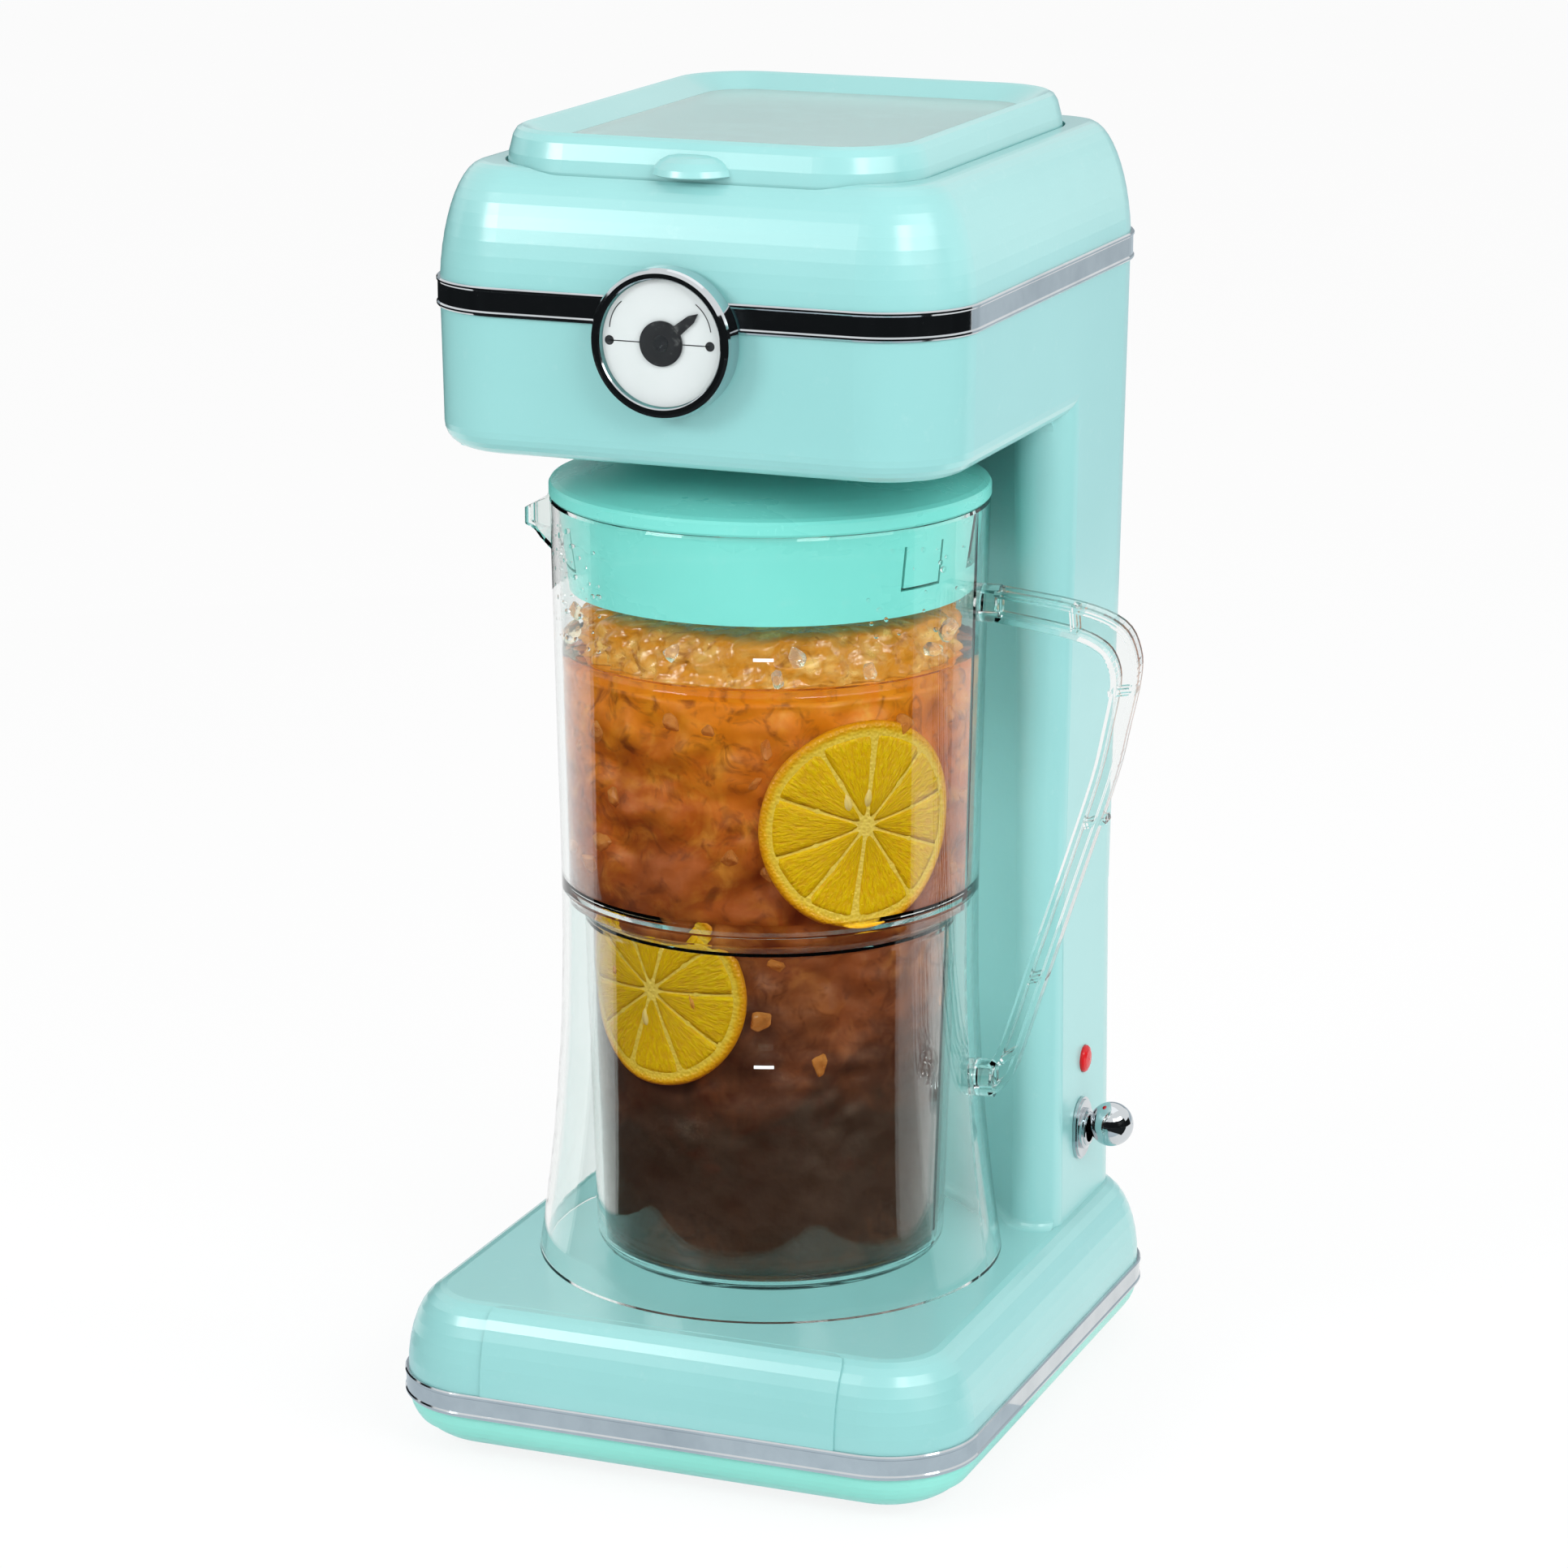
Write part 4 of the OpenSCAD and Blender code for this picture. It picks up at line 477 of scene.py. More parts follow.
def heapLump(radius, angle, z):
    spot = Vector((radius * math.cos(angle), radius * math.sin(angle), z)) * heap["lumpScale"]
    return heap["lump"] * min(1.0, radius / 30) * (noise.fractal(spot, 0.7, 2.1, 4) - 0.2)


def heapRadius(z):
    return heap["radius"] - heap["shoulderDrop"] * max(0, (z - heap["shoulder"]) / 10) ** 2


# tucked into the heart below the tea's surface, bare above it
heapProfile = [(12, heap["low"]), (40, heap["low"]), (56, heap["low"] + 1)]
heapProfile += [(heap["tuckRadius"], 256), (heap["tuckRadius"], heap["tuckTop"])]
heapProfile += [(heapRadius(z), z) for z in range(heap["bareFrom"], heap["high"])]
heapProfile += [(radius, heap["high"]) for radius in (54, 44, 30, 15)]
heapPoints, heapFaces = turned(heapProfile, heap["steps"], heapLump)
newPiece("iceHeap", heapPoints, heapFaces, heapFinish(), "pitcher")


# crushed ice: a few chip shapes scattered by geometry nodes round the heart and on the tea

ice = dict(seed=11, shapes=4, chipPoints=15, reach=(0.36, 0.54), narrow=0.8, flat=0.66, edge=0.035, ior=1.31)


def iceFinish(name, colour, shade, clear):
    mat, tree, shader = newFinish(name)
    place = objectPlace(tree)
    frost = remap(tree, cloud(tree, place, 190, 4, 0.6), 0.42, 0.66, 0, 1)
    tree.links.new(blend(tree, frost, colour, shade), shader.inputs["Base Color"])
    tree.links.new(remap(tree, frost, 0, 1, 0.03, 0.3), shader.inputs["Roughness"])
    shader.inputs["Transmission Weight"].default_value = clear
    shader.inputs["IOR"].default_value = ice["ior"]
    cracks = relief(tree, shader, cells(tree, place, 260, "F1"), 0.0005, 0.5)
    relief(tree, shader, cloud(tree, place, 420, 3), 0.0003, 0.4, cracks)
    return mat


def chipMesh(name, seed):
    # irregular broken chip about one unit across
    rng = random.Random(seed)
    form = bmesh.new()
    for _ in range(ice["chipPoints"]):
        spot = Vector((rng.gauss(0, 1), rng.gauss(0, 1), rng.gauss(0, 1))).normalized()
        spot *= rng.uniform(*ice["reach"])
        form.verts.new((spot.x, spot.y * ice["narrow"], spot.z * ice["flat"]))
    bmesh.ops.convex_hull(form, input=form.verts)
    bmesh.ops.delete(form, geom=[v for v in form.verts if not v.link_faces], context="VERTS")
    bmesh.ops.bevel(form, geom=form.edges[:], offset=ice["edge"], segments=1, affect="EDGES")
    bmesh.ops.recalc_face_normals(form, faces=form.faces)
    mesh = bpy.data.meshes.new(name)
    form.to_mesh(mesh)
    form.free()
    return bpy.data.objects.new(name, mesh)


def scatterTree(name, shapes, finish, values):
    # points on the faces, each with one of the shapes, pushed in or out and turned by chance
    tree = bpy.data.node_groups.new(name, "GeometryNodeTree")
    sockets = {}
    tree.interface.new_socket("Geometry", in_out="INPUT", socket_type="NodeSocketGeometry")
    for label in values:
        kind = "NodeSocketInt" if label == "Seed" else "NodeSocketFloat"
        sockets[label] = tree.interface.new_socket(label, in_out="INPUT", socket_type=kind)
    tree.interface.new_socket("Geometry", in_out="OUTPUT", socket_type="NodeSocketGeometry")
    start, end = tree.nodes.new("NodeGroupInput"), tree.nodes.new("NodeGroupOutput")
    link = tree.links.new
    spread = tree.nodes.new("GeometryNodeDistributePointsOnFaces")
    spread.distribute_method = "POISSON"
    link(start.outputs["Geometry"], spread.inputs["Mesh"])
    link(start.outputs["Gap"], spread.inputs["Distance Min"])
    link(start.outputs["Density"], spread.inputs["Density Max"])
    link(start.outputs["Seed"], spread.inputs["Seed"])

    def chance(kind, low, high, offset):
        step = tree.nodes.new("FunctionNodeRandomValue")
        step.data_type = kind
        pair = {"FLOAT": (2, 3), "FLOAT_VECTOR": (0, 1), "INT": (4, 5)}[kind]
        for socket, value in zip(pair, (low, high)):
            if isinstance(value, bpy.types.NodeSocket):
                link(value, step.inputs[socket])
            else:
                step.inputs[socket].default_value = value
        seed = tree.nodes.new("FunctionNodeInputInt")
        seed.integer = offset
        link(seed.outputs[0], step.inputs["Seed"])
        return next(s for s in step.outputs if s.enabled)

    push = tree.nodes.new("ShaderNodeVectorMath")
    push.operation = "SCALE"
    link(spread.outputs["Normal"], push.inputs[0])
    link(chance("FLOAT", start.outputs["Push low"], start.outputs["Push high"], 3), push.inputs["Scale"])
    move = tree.nodes.new("GeometryNodeSetPosition")
    link(spread.outputs["Points"], move.inputs["Geometry"])
    link(push.outputs[0], move.inputs["Offset"])
    family = tree.nodes.new("GeometryNodeCollectionInfo")
    family.inputs["Collection"].default_value = shapes
    family.inputs["Separate Children"].default_value = True
    family.inputs["Reset Children"].default_value = True
    place = tree.nodes.new("GeometryNodeInstanceOnPoints")
    place.inputs["Pick Instance"].default_value = True
    link(move.outputs["Geometry"], place.inputs["Points"])
    link(family.outputs[0], place.inputs["Instance"])
    link(chance("INT", 0, len(shapes.objects) - 1, 7), place.inputs["Instance Index"])
    link(chance("FLOAT_VECTOR", (0, 0, 0), (6.28, 6.28, 6.28), 5), place.inputs["Rotation"])
    link(chance("FLOAT", start.outputs["Smallest"], start.outputs["Largest"], 9), place.inputs["Scale"])
    solid = tree.nodes.new("GeometryNodeRealizeInstances")
    link(place.outputs["Instances"], solid.inputs["Geometry"])
    paint = tree.nodes.new("GeometryNodeSetMaterial")
    paint.inputs["Material"].default_value = finish
    link(solid.outputs["Geometry"], paint.inputs["Geometry"])
    link(paint.outputs["Geometry"], end.inputs["Geometry"])
    return tree, sockets


def scatter(name, points, faces, shapes, finish, spread, body, smooth=False):
    # carries the shapes onto a sheet, then keeps only the plain mesh that comes of it
    values = {"Density": spread["density"], "Gap": spread["gap"], "Seed": spread["seed"],
              "Smallest": spread["size"][0], "Largest": spread["size"][1],
              "Push low": spread["push"][0], "Push high": spread["push"][1]}
    holder = newObject(name + "Sheet", newMesh(name + "Sheet", points, faces))
    tree, sockets = scatterTree(name, shapes, finish, values)
    step = holder.modifiers.new("scatter", "NODES")
    step.node_group = tree
    for label, number in values.items():
        step[sockets[label].identifier] = number
    bpy.context.view_layer.update()
    grown = holder.evaluated_get(bpy.context.evaluated_depsgraph_get())
    mesh = bpy.data.meshes.new_from_object(grown)
    bpy.data.objects.remove(holder)
    mesh.name = name
    mesh.polygons.foreach_set("use_smooth", [smooth] * len(mesh.polygons))
    piece = newObject(name, mesh)
    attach(piece, body)
    print(name, len(mesh.polygons), "faces")


def ringSheet(rings, steps=72, start=0.0, sweep=2 * math.pi):
    # open sheet through (radius, z) rings about the pitcher
    points = []
    for radius, z in rings:
        points += [aroundPitcher(radius, start + sweep * j / steps, z) for j in range(steps + 1)]
    return points, sheetFaces(len(rings), steps)


chips = bpy.data.collections.new("iceChips")
for k in range(ice["shapes"]):
    chips.objects.link(chipMesh(f"chip{k}", ice["seed"] + k))
clearIce = iceFinish("iceClear", srgb(255, 246, 226), srgb(255, 230, 186), 0.92)
amberIce = iceFinish("iceAmber", srgb(232, 170, 96), srgb(206, 136, 66), 0.45)

# name, (radius, height) rings that carry it, finish, and how it is spread, sizes in metres
level = tea["level"]
iceLayers = (
    ("iceFloating", [(64, level + 13), (65, level + 8), (65.4, level + 3)], clearIce,
     dict(density=5200, gap=0.0075, seed=4, size=(0.007, 0.0125), push=(-0.003, 0.0006))),
    ("iceOnTop", [(56, level + 1), (40, level + 2), (24, level + 2), (6, level + 2)], clearIce,
     dict(density=3200, gap=0.010, seed=8, size=(0.009, 0.015), push=(-0.003, 0.003))),
    ("iceSunk", [(wallRadius(z) - 6.4, z) for z in (258, 235, 212, 192)], amberIce,
     dict(density=2600, gap=0.011, seed=21, size=(0.006, 0.012), push=(-0.003, 0.001))),
    ("iceDeep", [(wallRadius(z) - 6.6, z) for z in (172, 150, 126)], amberIce,
     dict(density=1000, gap=0.014, seed=33, size=(0.006, 0.0105), push=(-0.003, 0.0))),
)
for name, rings, finish, spread in iceLayers:
    points, faces = ringSheet(rings)
    scatter(name, points, faces, chips, finish, spread, "pitcher")


# lemon slices pressed against the wall

lemonLook = dict(segments=10, widths=(0.86, 1.14), around=160, uneven=0.012, face=0.3, pithShare=0.932,
                 pulpShare=0.895, coreShare=0.09, pulpGap=0.02, cornerRound=0.05, bulge=0.34, grain=0.12,
                 sunk=0.1, highest=0.05, membrane=0.45, along=16, across=10)
pipLook = dict(rings=9, steps=14, girth=1.75, length=7.5, flat=0.75, sunk=0.8)
lemonColours = dict(
    rind=((0.0, srgb(255, 236, 110)), (0.88, srgb(255, 230, 84)), (0.915, srgb(255, 222, 60)),
          (0.94, srgb(250, 196, 8)), (0.965, srgb(246, 182, 0)), (1.0, srgb(236, 158, 0))),
    pore=srgb(214, 150, 0), pulp=(srgb(244, 190, 0), srgb(255, 226, 8)),
    pip=(srgb(255, 242, 166), srgb(240, 216, 110)))
slices = {
    "lemonHigh": dict(radius=35.0, thick=4.6, azimuth=-41.0, height=219.5, wall=67.3, turn=12, seed=3,
                      pips=((-6.5, 8.5, 12), (0.5, 9.5, -8))),
    "lemonLow": dict(radius=33.0, thick=4.8, azimuth=-109.5, height=159.0, wall=58.3, turn=40, seed=8,
                     pips=((-2.5, -10, 10),)),
}


def rindFinish():
    # rind, pith and membranes by distance from the middle, kept in the u of the map
    mat, tree, shader = newFinish("lemonRind")
    place = objectPlace(tree)
    polar = tree.nodes.new("ShaderNodeUVMap")
    polar.uv_map = "polar"
    split = tree.nodes.new("ShaderNodeSeparateXYZ")
    tree.links.new(polar.outputs["UV"], split.inputs["Vector"])
    ragged = remap(tree, cloud(tree, place, 420, 3), 0.3, 0.7, -0.012, 0.012)
    out = combine(tree, "ADD", split.outputs["X"], ragged)
    colour = ramp(tree, out, lemonColours["rind"])
    pores = cells(tree, place, 900, "F1")
    spots = remap(tree, pores, 0.1, 0.5, 0.25, 0)
    colour = blend(tree, spots, colour, lemonColours["pore"])
    tree.links.new(colour, shader.inputs["Base Color"])
    tree.links.new(remap(tree, pores, 0, 0.6, 0.5, 0.3), shader.inputs["Roughness"])
    relief(tree, shader, pores, 0.0004, 0.7)
    return mat


def pulpFinish():
    mat, tree, shader = newFinish("lemonPulp")
    polar = tree.nodes.new("ShaderNodeUVMap")
    polar.uv_map = "polar"
    stretch = tree.nodes.new("ShaderNodeMapping")
    stretch.inputs["Scale"].default_value = (5, 60, 1)
    tree.links.new(polar.outputs["UV"], stretch.inputs["Vector"])
    sacs = cloud(tree, stretch.outputs["Vector"], 2.2, 4, 0.6, 0.35)
    juice = remap(tree, sacs, 0.34, 0.66, 0, 1)
    colour = blend(tree, juice, *lemonColours["pulp"])
    tree.links.new(colour, shader.inputs["Base Color"])
    tree.links.new(remap(tree, sacs, 0.3, 0.7, 0.34, 0.16), shader.inputs["Roughness"])
    shader.inputs["IOR"].default_value = 1.36
    relief(tree, shader, sacs, 0.0012, 0.8)
    return mat


def pipFinish():
    mat, tree, shader = newFinish("lemonPip")
    place = objectPlace(tree)
    streak = cloud(tree, objectPlace(tree, (1, 1, 0.2)), 700, 3)
    colour = blend(tree, remap(tree, streak, 0.3, 0.7, 0, 1), *lemonColours["pip"])
    tree.links.new(colour, shader.inputs["Base Color"])
    tree.links.new(remap(tree, streak, 0.3, 0.7, 0.25, 0.5), shader.inputs["Roughness"])
    relief(tree, shader, cloud(tree, place, 900, 2), 0.0002, 0.5)
    return mat


def pressed(cut, u, v, w):
    # a point of the flat slice, laid on the pitcher's wall: u right, v up, w out
    angle = math.radians(cut["azimuth"]) + u / (cut["wall"] - 2)
    return aroundPitcher(cut["wall"] + w, angle, cut["height"] + v)


def polarPiece(name, cut, spots, faces, finish):
    # spots hold (share of radius, angle, w); the map keeps the share and the angle
    points = []
    for share, angle, w in spots:
        r = cut["radius"] * share
        points.append(pressed(cut, r * math.cos(angle), r * math.sin(angle), w))
    mesh = newMesh(name, points, faces)
    polar = mesh.uv_layers.new(name="polar")
    for face in mesh.polygons:
        turns = [spots[mesh.loops[k].vertex_index][1] / (2 * math.pi) for k in face.loop_indices]
        for k, turn in zip(face.loop_indices, turns):
            turn += 1 if turn < max(turns) - 0.5 else 0
            polar.data[k].uv = (spots[mesh.loops[k].vertex_index][0], turn)
    faceOutward(mesh)
    mesh.polygons.foreach_set("use_smooth", [True] * len(mesh.polygons))
    mesh.materials.append(finish)
    piece = newObject(name, mesh)
    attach(piece, "pitcher")


def sliceRind(name, cut, finish):
    look, thick = lemonLook, cut["thick"]
    half = [(0.5, -look["face"]), (look["pulpShare"], -look["face"]), (look["pithShare"], -0.22),
            (0.945, -0.08), (0.965, -0.12), (0.982, -0.4), (0.995, -1.0), (1.0, -thick / 2)]
    section = half + [(share, -thick - w) for share, w in reversed(half[:-1])]
    steps = look["around"]
    spots = []
    for share, w in section:
        for j in range(steps):
            angle = 2 * math.pi * j / steps
            spot = Vector((math.cos(angle) * 2, math.sin(angle) * 2, cut["seed"]))
            spots.append((share * (1 + look["uneven"] * noise.noise(spot)), angle, w))
    spots += [(0, 0, -look["face"]), (0, 0, -thick + look["face"])]
    polarPiece(name + "Rind", cut, spots, ringFaces(len(section), steps, poles=True), finish)


def slicePulp(name, cut, finish):
    # closed wedges that stand a little proud of the membranes on both faces
    look, rng = lemonLook, random.Random(cut["seed"])
    along, across, core, thick = look["along"], look["across"], look["coreShare"], cut["thick"]
    weights = [rng.uniform(*look["widths"]) for _ in range(look["segments"])]
    scale = 2 * math.pi / sum(weights)
    spots, faces, start = [], [], math.radians(cut["turn"])
    for weight in weights:
        width = weight * scale
        middle = start + width / 2
        start += width
        for side in (1, -1):
            base = len(spots)
            for i in range(along + 1):
                s = i / along
                for j in range(across + 1):
                    t = 2 * j / across - 1
                    reach = look["pulpShare"] - look["pulpGap"] - look["cornerRound"] * abs(t) ** 5
                    share = core + look["cornerRound"] * abs(t) ** 3 + (reach - core) * s
                    gap = look["membrane"] / (cut["radius"] * max(share, 0.05))
                    angle = middle + t * max(width / 2 - gap, 0.01)
                    rise = (1 - t ** 4) * (1 - (2 * s - 1) ** 8)
                    spot = Vector((share * 8, angle * 26, cut["seed"] + side))
                    grain = look["grain"] * noise.noise(spot)
                    w = -look["face"] - look["sunk"] + (look["bulge"] + grain) * max(rise, 0) ** 0.5
                    w = min(w, look["highest"])
                    spots.append((share, angle, w if side == 1 else -thick - w))
            faces += sheetFaces(along + 1, across, base)
        front, back = base - (along + 1) * (across + 1), base
        rim = [i * (across + 1) for i in range(along + 1)]
        rim += [along * (across + 1) + j for j in range(1, across + 1)]
        rim += [i * (across + 1) + across for i in range(along - 1, -1, -1)]
        rim += list(range(across - 1, 0, -1))
        for a, b in zip(rim, rim[1:] + rim[:1]):
            faces.append((front + a, front + b, back + b, back + a))
    polarPiece(name + "Pulp", cut, spots, faces, finish)


def slicePips(name, cut, finish):
    points, faces = [], []
    rings, steps = pipLook["rings"], pipLook["steps"]
    for x, y, lean in cut["pips"]:
        base = len(points)
        turn = math.radians(lean)
        for k in range(rings + 1):
            s = k / rings
            girth = pipLook["girth"] * math.sin(math.pi * s) ** 0.7 * (1.15 - 0.5 * s)
            py = pipLook["length"] * (s - 0.5)
            for j in range(steps):
                a = 2 * math.pi * j / steps
                px, pw = girth * math.cos(a), pipLook["flat"] * girth * math.sin(a)
                u = x + px * math.cos(turn) - py * math.sin(turn)
                v = y + px * math.sin(turn) + py * math.cos(turn)
                points.append(pressed(cut, u, v, pw - pipLook["sunk"]))
        faces += ringFaces(rings + 1, steps, base)
    newPiece(name + "Pips", points, faces, finish, "pitcher")


rindYellow, pulpYellow, pipPale = rindFinish(), pulpFinish(), pipFinish()
for name, cut in slices.items():
    sliceRind(name, cut, rindYellow)
    slicePulp(name, cut, pulpYellow)
    slicePips(name, cut, pipPale)
print("lemon slices laid in")


# level bars printed on the pitcher

bars = dict(azimuth=-70.0, width=6.6, height=1.1, proud=0.08, places=((72.52, 277.7), (71.2, 140.4)))


def inkFinish(name, colour, shade):
    mat, tree, shader = newFinish(name)
    place = objectPlace(tree)
    worn = remap(tree, cloud(tree, place, 900, 3), 0.35, 0.65, 0, 1)
    tree.links.new(blend(tree, worn, colour, shade), shader.inputs["Base Color"])
    tree.links.new(remap(tree, worn, 0, 1, 0.4, 0.55), shader.inputs["Roughness"])
    relief(tree, shader, cloud(tree, place, 2500, 2), 0.00002, 0.4)
    return mat


def bentBar(radius, z, azimuth, width, height, proud, steps=10):
    # small closed plate that follows the round wall
    points = []
    half = width / 2 / radius
    for k in range(steps + 1):
        angle = math.radians(azimuth) - half + 2 * half * k / steps
        for r, h in ((radius, -1), (radius + proud, -1), (radius + proud, 1), (radius, 1)):
            points.append(aroundPitcher(r, angle, z + h * height / 2))
    return points, barFaces(steps + 1)


whiteInk = inkFinish("whiteInk", srgb(246, 247, 246), srgb(234, 236, 235))
for k, (radius, z) in enumerate(bars["places"]):
    points, faces = bentBar(radius, z, bars["azimuth"], bars["width"], bars["height"], bars["proud"])
    newPiece(f"levelBar{k + 1}", points, faces, whiteInk, "pitcher", False)
print("level bars printed")


# fine marks printed on the dial's face

dialPrint = dict(face=-101.99, thick=0.06, line=0.34, middle=382.3, hub=6, dotRadius=1.55,
                 dots=(-17.8, 16.3),
                 arcs=(((-13.5, 394.8), (-16.4, 391.2), (-17.7, 386.4)),
                       ((11.5, 395.3), (14.9, 391.6), (16.6, 386.8))))
blackInk = inkFinish("blackInk", srgb(30, 31, 34), srgb(44, 46, 50))


def flatStrip(path, width):
    # thin raised line through (x, z) points on the dial's face
    y0, y1 = dialPrint["face"], dialPrint["face"] - dialPrint["thick"]
    points = []
    for k, (x, z) in enumerate(path):
        x0, z0 = path[max(0, k - 1)]
        x1, z1 = path[min(len(path) - 1, k + 1)]
        size = math.hypot(x1 - x0, z1 - z0)
        nx, nz = -(z1 - z0) / size * width / 2, (x1 - x0) / size * width / 2
        points += [(x - nx, y0, z - nz), (x - nx, y1, z - nz), (x + nx, y1, z + nz), (x + nx, y0, z + nz)]
    return points, barFaces(len(path))


def curveThrough(a, b, c, steps=14):
    # smooth run through three points
    mid = (2 * b[0] - (a[0] + c[0]) / 2, 2 * b[1] - (a[1] + c[1]) / 2)
    run = []
    for k in range(steps + 1):
        t = k / steps
        run.append(tuple((1 - t) ** 2 * a[i] + 2 * t * (1 - t) * mid[i] + t * t * c[i] for i in (0, 1)))
    return run


def roundDot(x, z, radius, steps=28):
    y0, y1 = dialPrint["face"], dialPrint["face"] - dialPrint["thick"]
    ring = [(x + radius * math.cos(2 * math.pi * k / steps), z + radius * math.sin(2 * math.pi * k / steps))
            for k in range(steps)]
    points = [(px, y0, pz) for px, pz in ring] + [(px, y1, pz) for px, pz in ring]
    faces = [tuple(range(steps)), tuple(range(2 * steps - 1, steps - 1, -1))]
    faces += [(k, (k + 1) % steps, (k + 1) % steps + steps, k + steps) for k in range(steps)]
    return points, faces


middle, hub = dialPrint["middle"], dialPrint["hub"]
leftDot, rightDot = dialPrint["dots"]
marks = [flatStrip([(leftDot, middle), (-hub, middle)], dialPrint["line"]),
         flatStrip([(hub, middle), (rightDot, middle)], dialPrint["line"])]
marks += [flatStrip(curveThrough(*arc), dialPrint["line"]) for arc in dialPrint["arcs"]]
marks += [roundDot(x, middle, dialPrint["dotRadius"]) for x in dialPrint["dots"]]
markPoints, markFaces = [], []
for points, faces in marks:
    markFaces += [tuple(k + len(markPoints) for k in face) for face in faces]
    markPoints += points
newPiece("dialMarks", markPoints, markFaces, blackInk, "stand", False)
print("dial marks printed")


# droplets on the inside of the pitcher above the tea

drops = dict(heights=(273, 290, 312), wallGap=0.3, steps=20, shapes=(1.0, 1.15, 0.85), flat=0.8,
             gap=0.0028, size=(0.0007, 0.0021), push=(0.0, 0.0))
dropPatches = {
    "dropsLeft": dict(start=-170, sweep=52, density=26000, seed=2),
    "dropsRight": dict(start=-42, sweep=40, density=12000, seed=6),
}


def dropFinish():
    mat, tree, shader = newFinish("dropWater")
    place = objectPlace(tree)
    tint = remap(tree, cloud(tree, place, 300, 2), 0.3, 0.7, 0, 1)
    tree.links.new(blend(tree, tint, srgb(255, 255, 255), srgb(250, 252, 252)), shader.inputs["Base Color"])
    tree.links.new(remap(tree, tint, 0, 1, 0.0, 0.02), shader.inputs["Roughness"])
    shader.inputs["Transmission Weight"].default_value = 1.0
    shader.inputs["IOR"].default_value = tea["ior"]
    relief(tree, shader, cloud(tree, place, 600, 2), 0.0001, 0.3)
    return mat


def beadShape(name, tall):
    form = bmesh.new()
    bmesh.ops.create_uvsphere(form, u_segments=12, v_segments=8, radius=0.5)
    for v in form.verts:
        v.co = Vector((v.co.x, v.co.y * tall, v.co.z * drops["flat"]))
    mesh = bpy.data.meshes.new(name)
    form.to_mesh(mesh)
    form.free()
    return bpy.data.objects.new(name, mesh)


beads = bpy.data.collections.new("beads")
for k, tall in enumerate(drops["shapes"]):
    beads.objects.link(beadShape(f"bead{k}", tall))
dropWater = dropFinish()
dropRings = [(wallRadius(z) - drops["wallGap"], z) for z in drops["heights"]]
for name, patch in dropPatches.items():
    points, faces = ringSheet(dropRings, drops["steps"], math.radians(patch["start"]),
                              math.radians(patch["sweep"]))
    scatter(name, points, faces, beads, dropWater, dict(drops, **patch), "pitcher", True)


# light falls through whatever is clear

seeThrough = [nodes[name] for name in ("pitcher_vessel", "pitcher_skirt", "pitcher_handle", "dial_crystal")]
seeThrough += [bpy.data.objects[name] for name in ("teaLiquid", "teaHeart", "iceHeap")]
seeThrough += [bpy.data.objects[name] for name in [layer[0] for layer in iceLayers] + list(dropPatches)]
for piece in seeThrough:
    piece.visible_shadow = piece.visible_diffuse = False


# floor, light and camera

studio = dict(floorSize=12.0, floorLevel=-0.0002, floorWhite=0.86, worldLevel=0.8, cardFar=1.25,
              cardNear=0.2, cardSteps=24, cardTint=(0.88, 1.0, 1.08, 1))


def pathShare(tree):
    # 1 for rays from the camera, a mirror or clear plastic, 0 for the light that falls on things
    path = tree.nodes.new("ShaderNodeLightPath")
    seen = combine(tree, "MAXIMUM", path.outputs["Is Camera Ray"], path.outputs["Is Glossy Ray"])
    return combine(tree, "MAXIMUM", seen, path.outputs["Is Transmission Ray"])


def mixShaders(tree, share, first, second):
    # what shows is the first at share 0 and the second at share 1
    step = tree.nodes.new("ShaderNodeMixShader")
    for socket, value in zip(step.inputs, (share, first, second)):
        tree.links.new(value, socket)
    surface = next(n for n in tree.nodes if n.type == "OUTPUT_MATERIAL")
    tree.links.new(step.outputs[0], surface.inputs["Surface"])


def floorFinish():
    mat, tree, shader = newFinish("paleFloor")
    place = objectPlace(tree)
    faint = remap(tree, cloud(tree, place, 3, 3), 0.3, 0.7, 0, 1)
    tree.links.new(blend(tree, faint, (0.9, 0.9, 0.9, 1), (0.92, 0.92, 0.92, 1)), shader.inputs["Base Color"])
    shader.inputs["Roughness"].default_value = 0.7
    shader.inputs["Specular IOR Level"].default_value = 0.2
    glow = tree.nodes.new("ShaderNodeEmission")
    seen = combine(tree, "MULTIPLY", pathShare(tree), studio["floorWhite"])
    mixShaders(tree, seen, shader.outputs["BSDF"], glow.outputs["Emission"])
    return mat


def stagePiece(name, points, faces, finish):
    # points in metres
    mesh = bpy.data.meshes.new(name)
    mesh.from_pydata(points, [], faces)
    mesh.materials.append(finish)
    piece = newObject(name, mesh)
    return piece


reach = studio["floorSize"]
corners = [(x, y, studio["floorLevel"]) for x, y in ((-reach, -reach), (reach, -reach), (reach, reach),
                                                     (-reach, reach))]
stagePiece("paleFloor", corners, [(0, 1, 2, 3)], floorFinish())


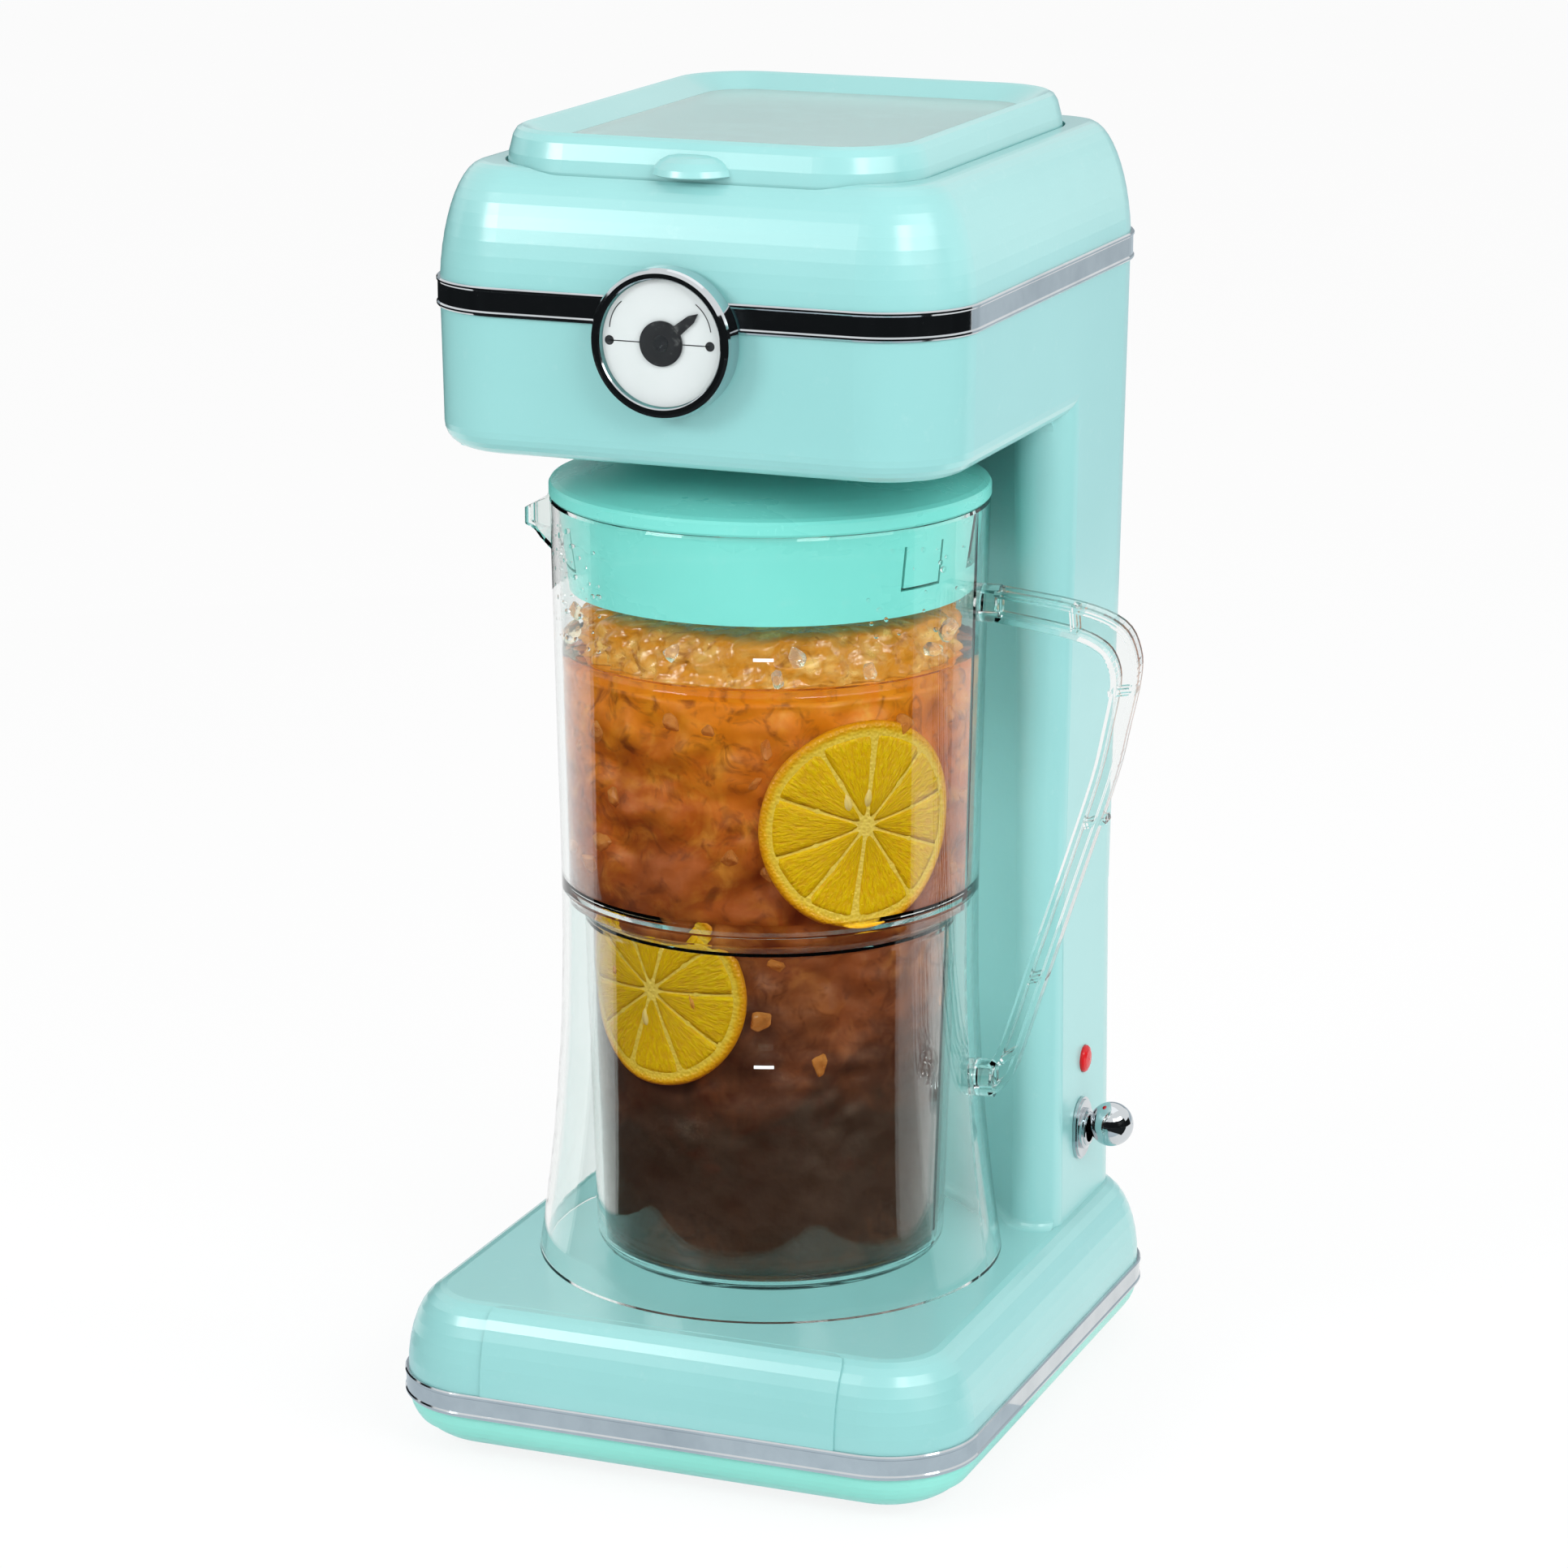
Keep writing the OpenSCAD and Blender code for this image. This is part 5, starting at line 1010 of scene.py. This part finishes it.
def mirrorCard(name, sweep, rows, shade, throughGlass=True, gloss=True):
    # curved card through (radius, z) rows that the camera, matt surfaces and shadows don't see
    mat, tree, shader = newFinish(name)
    place = objectPlace(tree)
    tone = remap(tree, cloud(tree, place, 4, 2), 0.3, 0.7, shade * 0.9, shade * 1.1)
    tree.links.new(blend(tree, tone, (0, 0, 0, 1), studio["cardTint"]), shader.inputs["Emission Color"])
    shader.inputs["Emission Strength"].default_value = 1.0
    shader.inputs["Base Color"].default_value = (0, 0, 0, 1)
    shader.inputs["Specular IOR Level"].default_value = 0
    if throughGlass:
        # clear to a look straight through glass, with no reflection on the way
        path = tree.nodes.new("ShaderNodeLightPath")
        gone = tree.nodes.new("ShaderNodeBsdfTransparent")
        turnedBack = combine(tree, "GREATER_THAN", path.outputs["Glossy Depth"], 0.5)
        mixShaders(tree, turnedBack, gone.outputs["BSDF"], shader.outputs["BSDF"])
    points, faces, steps = [], [], studio["cardSteps"]
    for k in range(steps + 1):
        angle = math.radians(sweep[0] + (sweep[1] - sweep[0]) * k / steps)
        for radius, z in rows:
            points.append((radius * math.cos(angle), radius * math.sin(angle), z))
    for k in range(steps):
        faces.append((2 * k, 2 * k + 2, 2 * k + 3, 2 * k + 1))
    card = stagePiece(name, points, faces, mat)
    card.visible_camera = card.visible_diffuse = card.visible_shadow = card.visible_volume_scatter = False
    card.visible_transmission = throughGlass
    card.visible_glossy = gloss


far, near = studio["cardFar"], studio["cardNear"]
cards = {
    "darkCard": dict(sweep=(-176, 12), rows=((far, 0.004), (far, 0.75)), shade=0.012),
    "darkFloor": dict(sweep=(-176, 12), rows=((near, 0.003), (far, 0.003)), shade=0.02),
    "bandCard": dict(sweep=(-240, -155), rows=((far, 0.0), (far, 0.45)), shade=0.012, throughGlass=False),
    "bandCardRight": dict(sweep=(8, 42), rows=((far, 0.0), (far, 0.4)), shade=0.012, throughGlass=False),
    "bandFloor": dict(sweep=(8, 42), rows=((0.8, 0.003), (far, 0.003)), shade=0.012, throughGlass=False),
    "nearFloor": dict(sweep=(-235, 0), rows=((0.04, 0.002), (near, 0.002)), shade=0.7, throughGlass=False),
    "darkNear": dict(sweep=(-170, 20), rows=((0.1, 0.0025), (near, 0.0025)), shade=0.02, gloss=False),
    "backCard": dict(sweep=(75, 175), rows=((1.6, 0.25), (1.6, 0.72)), shade=0.45, throughGlass=False),
    "greyCard": dict(sweep=(43, 110), rows=((far, 0.0), (far, 0.3)), shade=0.62, throughGlass=False),
}
for name, card in cards.items():
    mirrorCard(name, **card)


def towards(place, aim):
    return (Vector(aim) - Vector(place)).to_track_quat("-Z", "Y")


def softLamp(name, place, aim, size, power):
    data = bpy.data.lights.new(name, "AREA")
    data.shape = "RECTANGLE"
    data.size, data.size_y = size
    data.energy = power
    lamp = newObject(name, data)
    lamp.location = place
    lamp.rotation_euler = towards(place, aim).to_euler()


lamps = {
    "keyLamp": dict(place=(-0.9, -1.9, 1.2), aim=(0, 0, 0.25), size=(1.3, 0.9), power=3),
    "leftLamp": dict(place=(-0.68, -0.95, 0.82), aim=(-0.055, -0.09, 0.41), size=(0.42, 0.3), power=4.6),
    "cornerLamp": dict(place=(0.78, -0.8, 0.92), aim=(0.076, -0.087, 0.415), size=(0.34, 0.32), power=3.2),
    "fillLamp": dict(place=(1.9, -0.6, 1.1), aim=(0, 0, 0.2), size=(1.2, 1.4), power=17),
    "topLamp": dict(place=(0.1, 0.3, 1.9), aim=(0, 0, 0.3), size=(1.2, 1.2), power=1.5),
}
for name, lamp in lamps.items():
    softLamp(name, **lamp)

world = bpy.data.worlds.new("studioWorld")
world.use_nodes = True
bpy.context.scene.world = world
sky = world.node_tree
background = next(n for n in sky.nodes if n.type == "BACKGROUND")
background.inputs["Color"].default_value = (1, 1, 1, 1)
sky.links.new(remap(sky, pathShare(sky), 0, 1, studio["worldLevel"], 1.0), background.inputs["Strength"])

view = dict(place=(0.6000, -1.5121, 0.6506), aim=(0.0005, 0.0, 0.2146), lens=114.0, sensor=36.0, near=0.05)
optics = bpy.data.cameras.new("camera")
optics.lens = view["lens"]
optics.sensor_width = view["sensor"]
optics.clip_start = view["near"]
camera = newObject("camera", optics)
camera.location = view["place"]
camera.rotation_mode = "QUATERNION"
camera.rotation_quaternion = towards(view["place"], view["aim"])
bpy.context.scene.camera = camera
bpy.context.scene.view_settings.view_transform = "Standard"
print("studio ready")
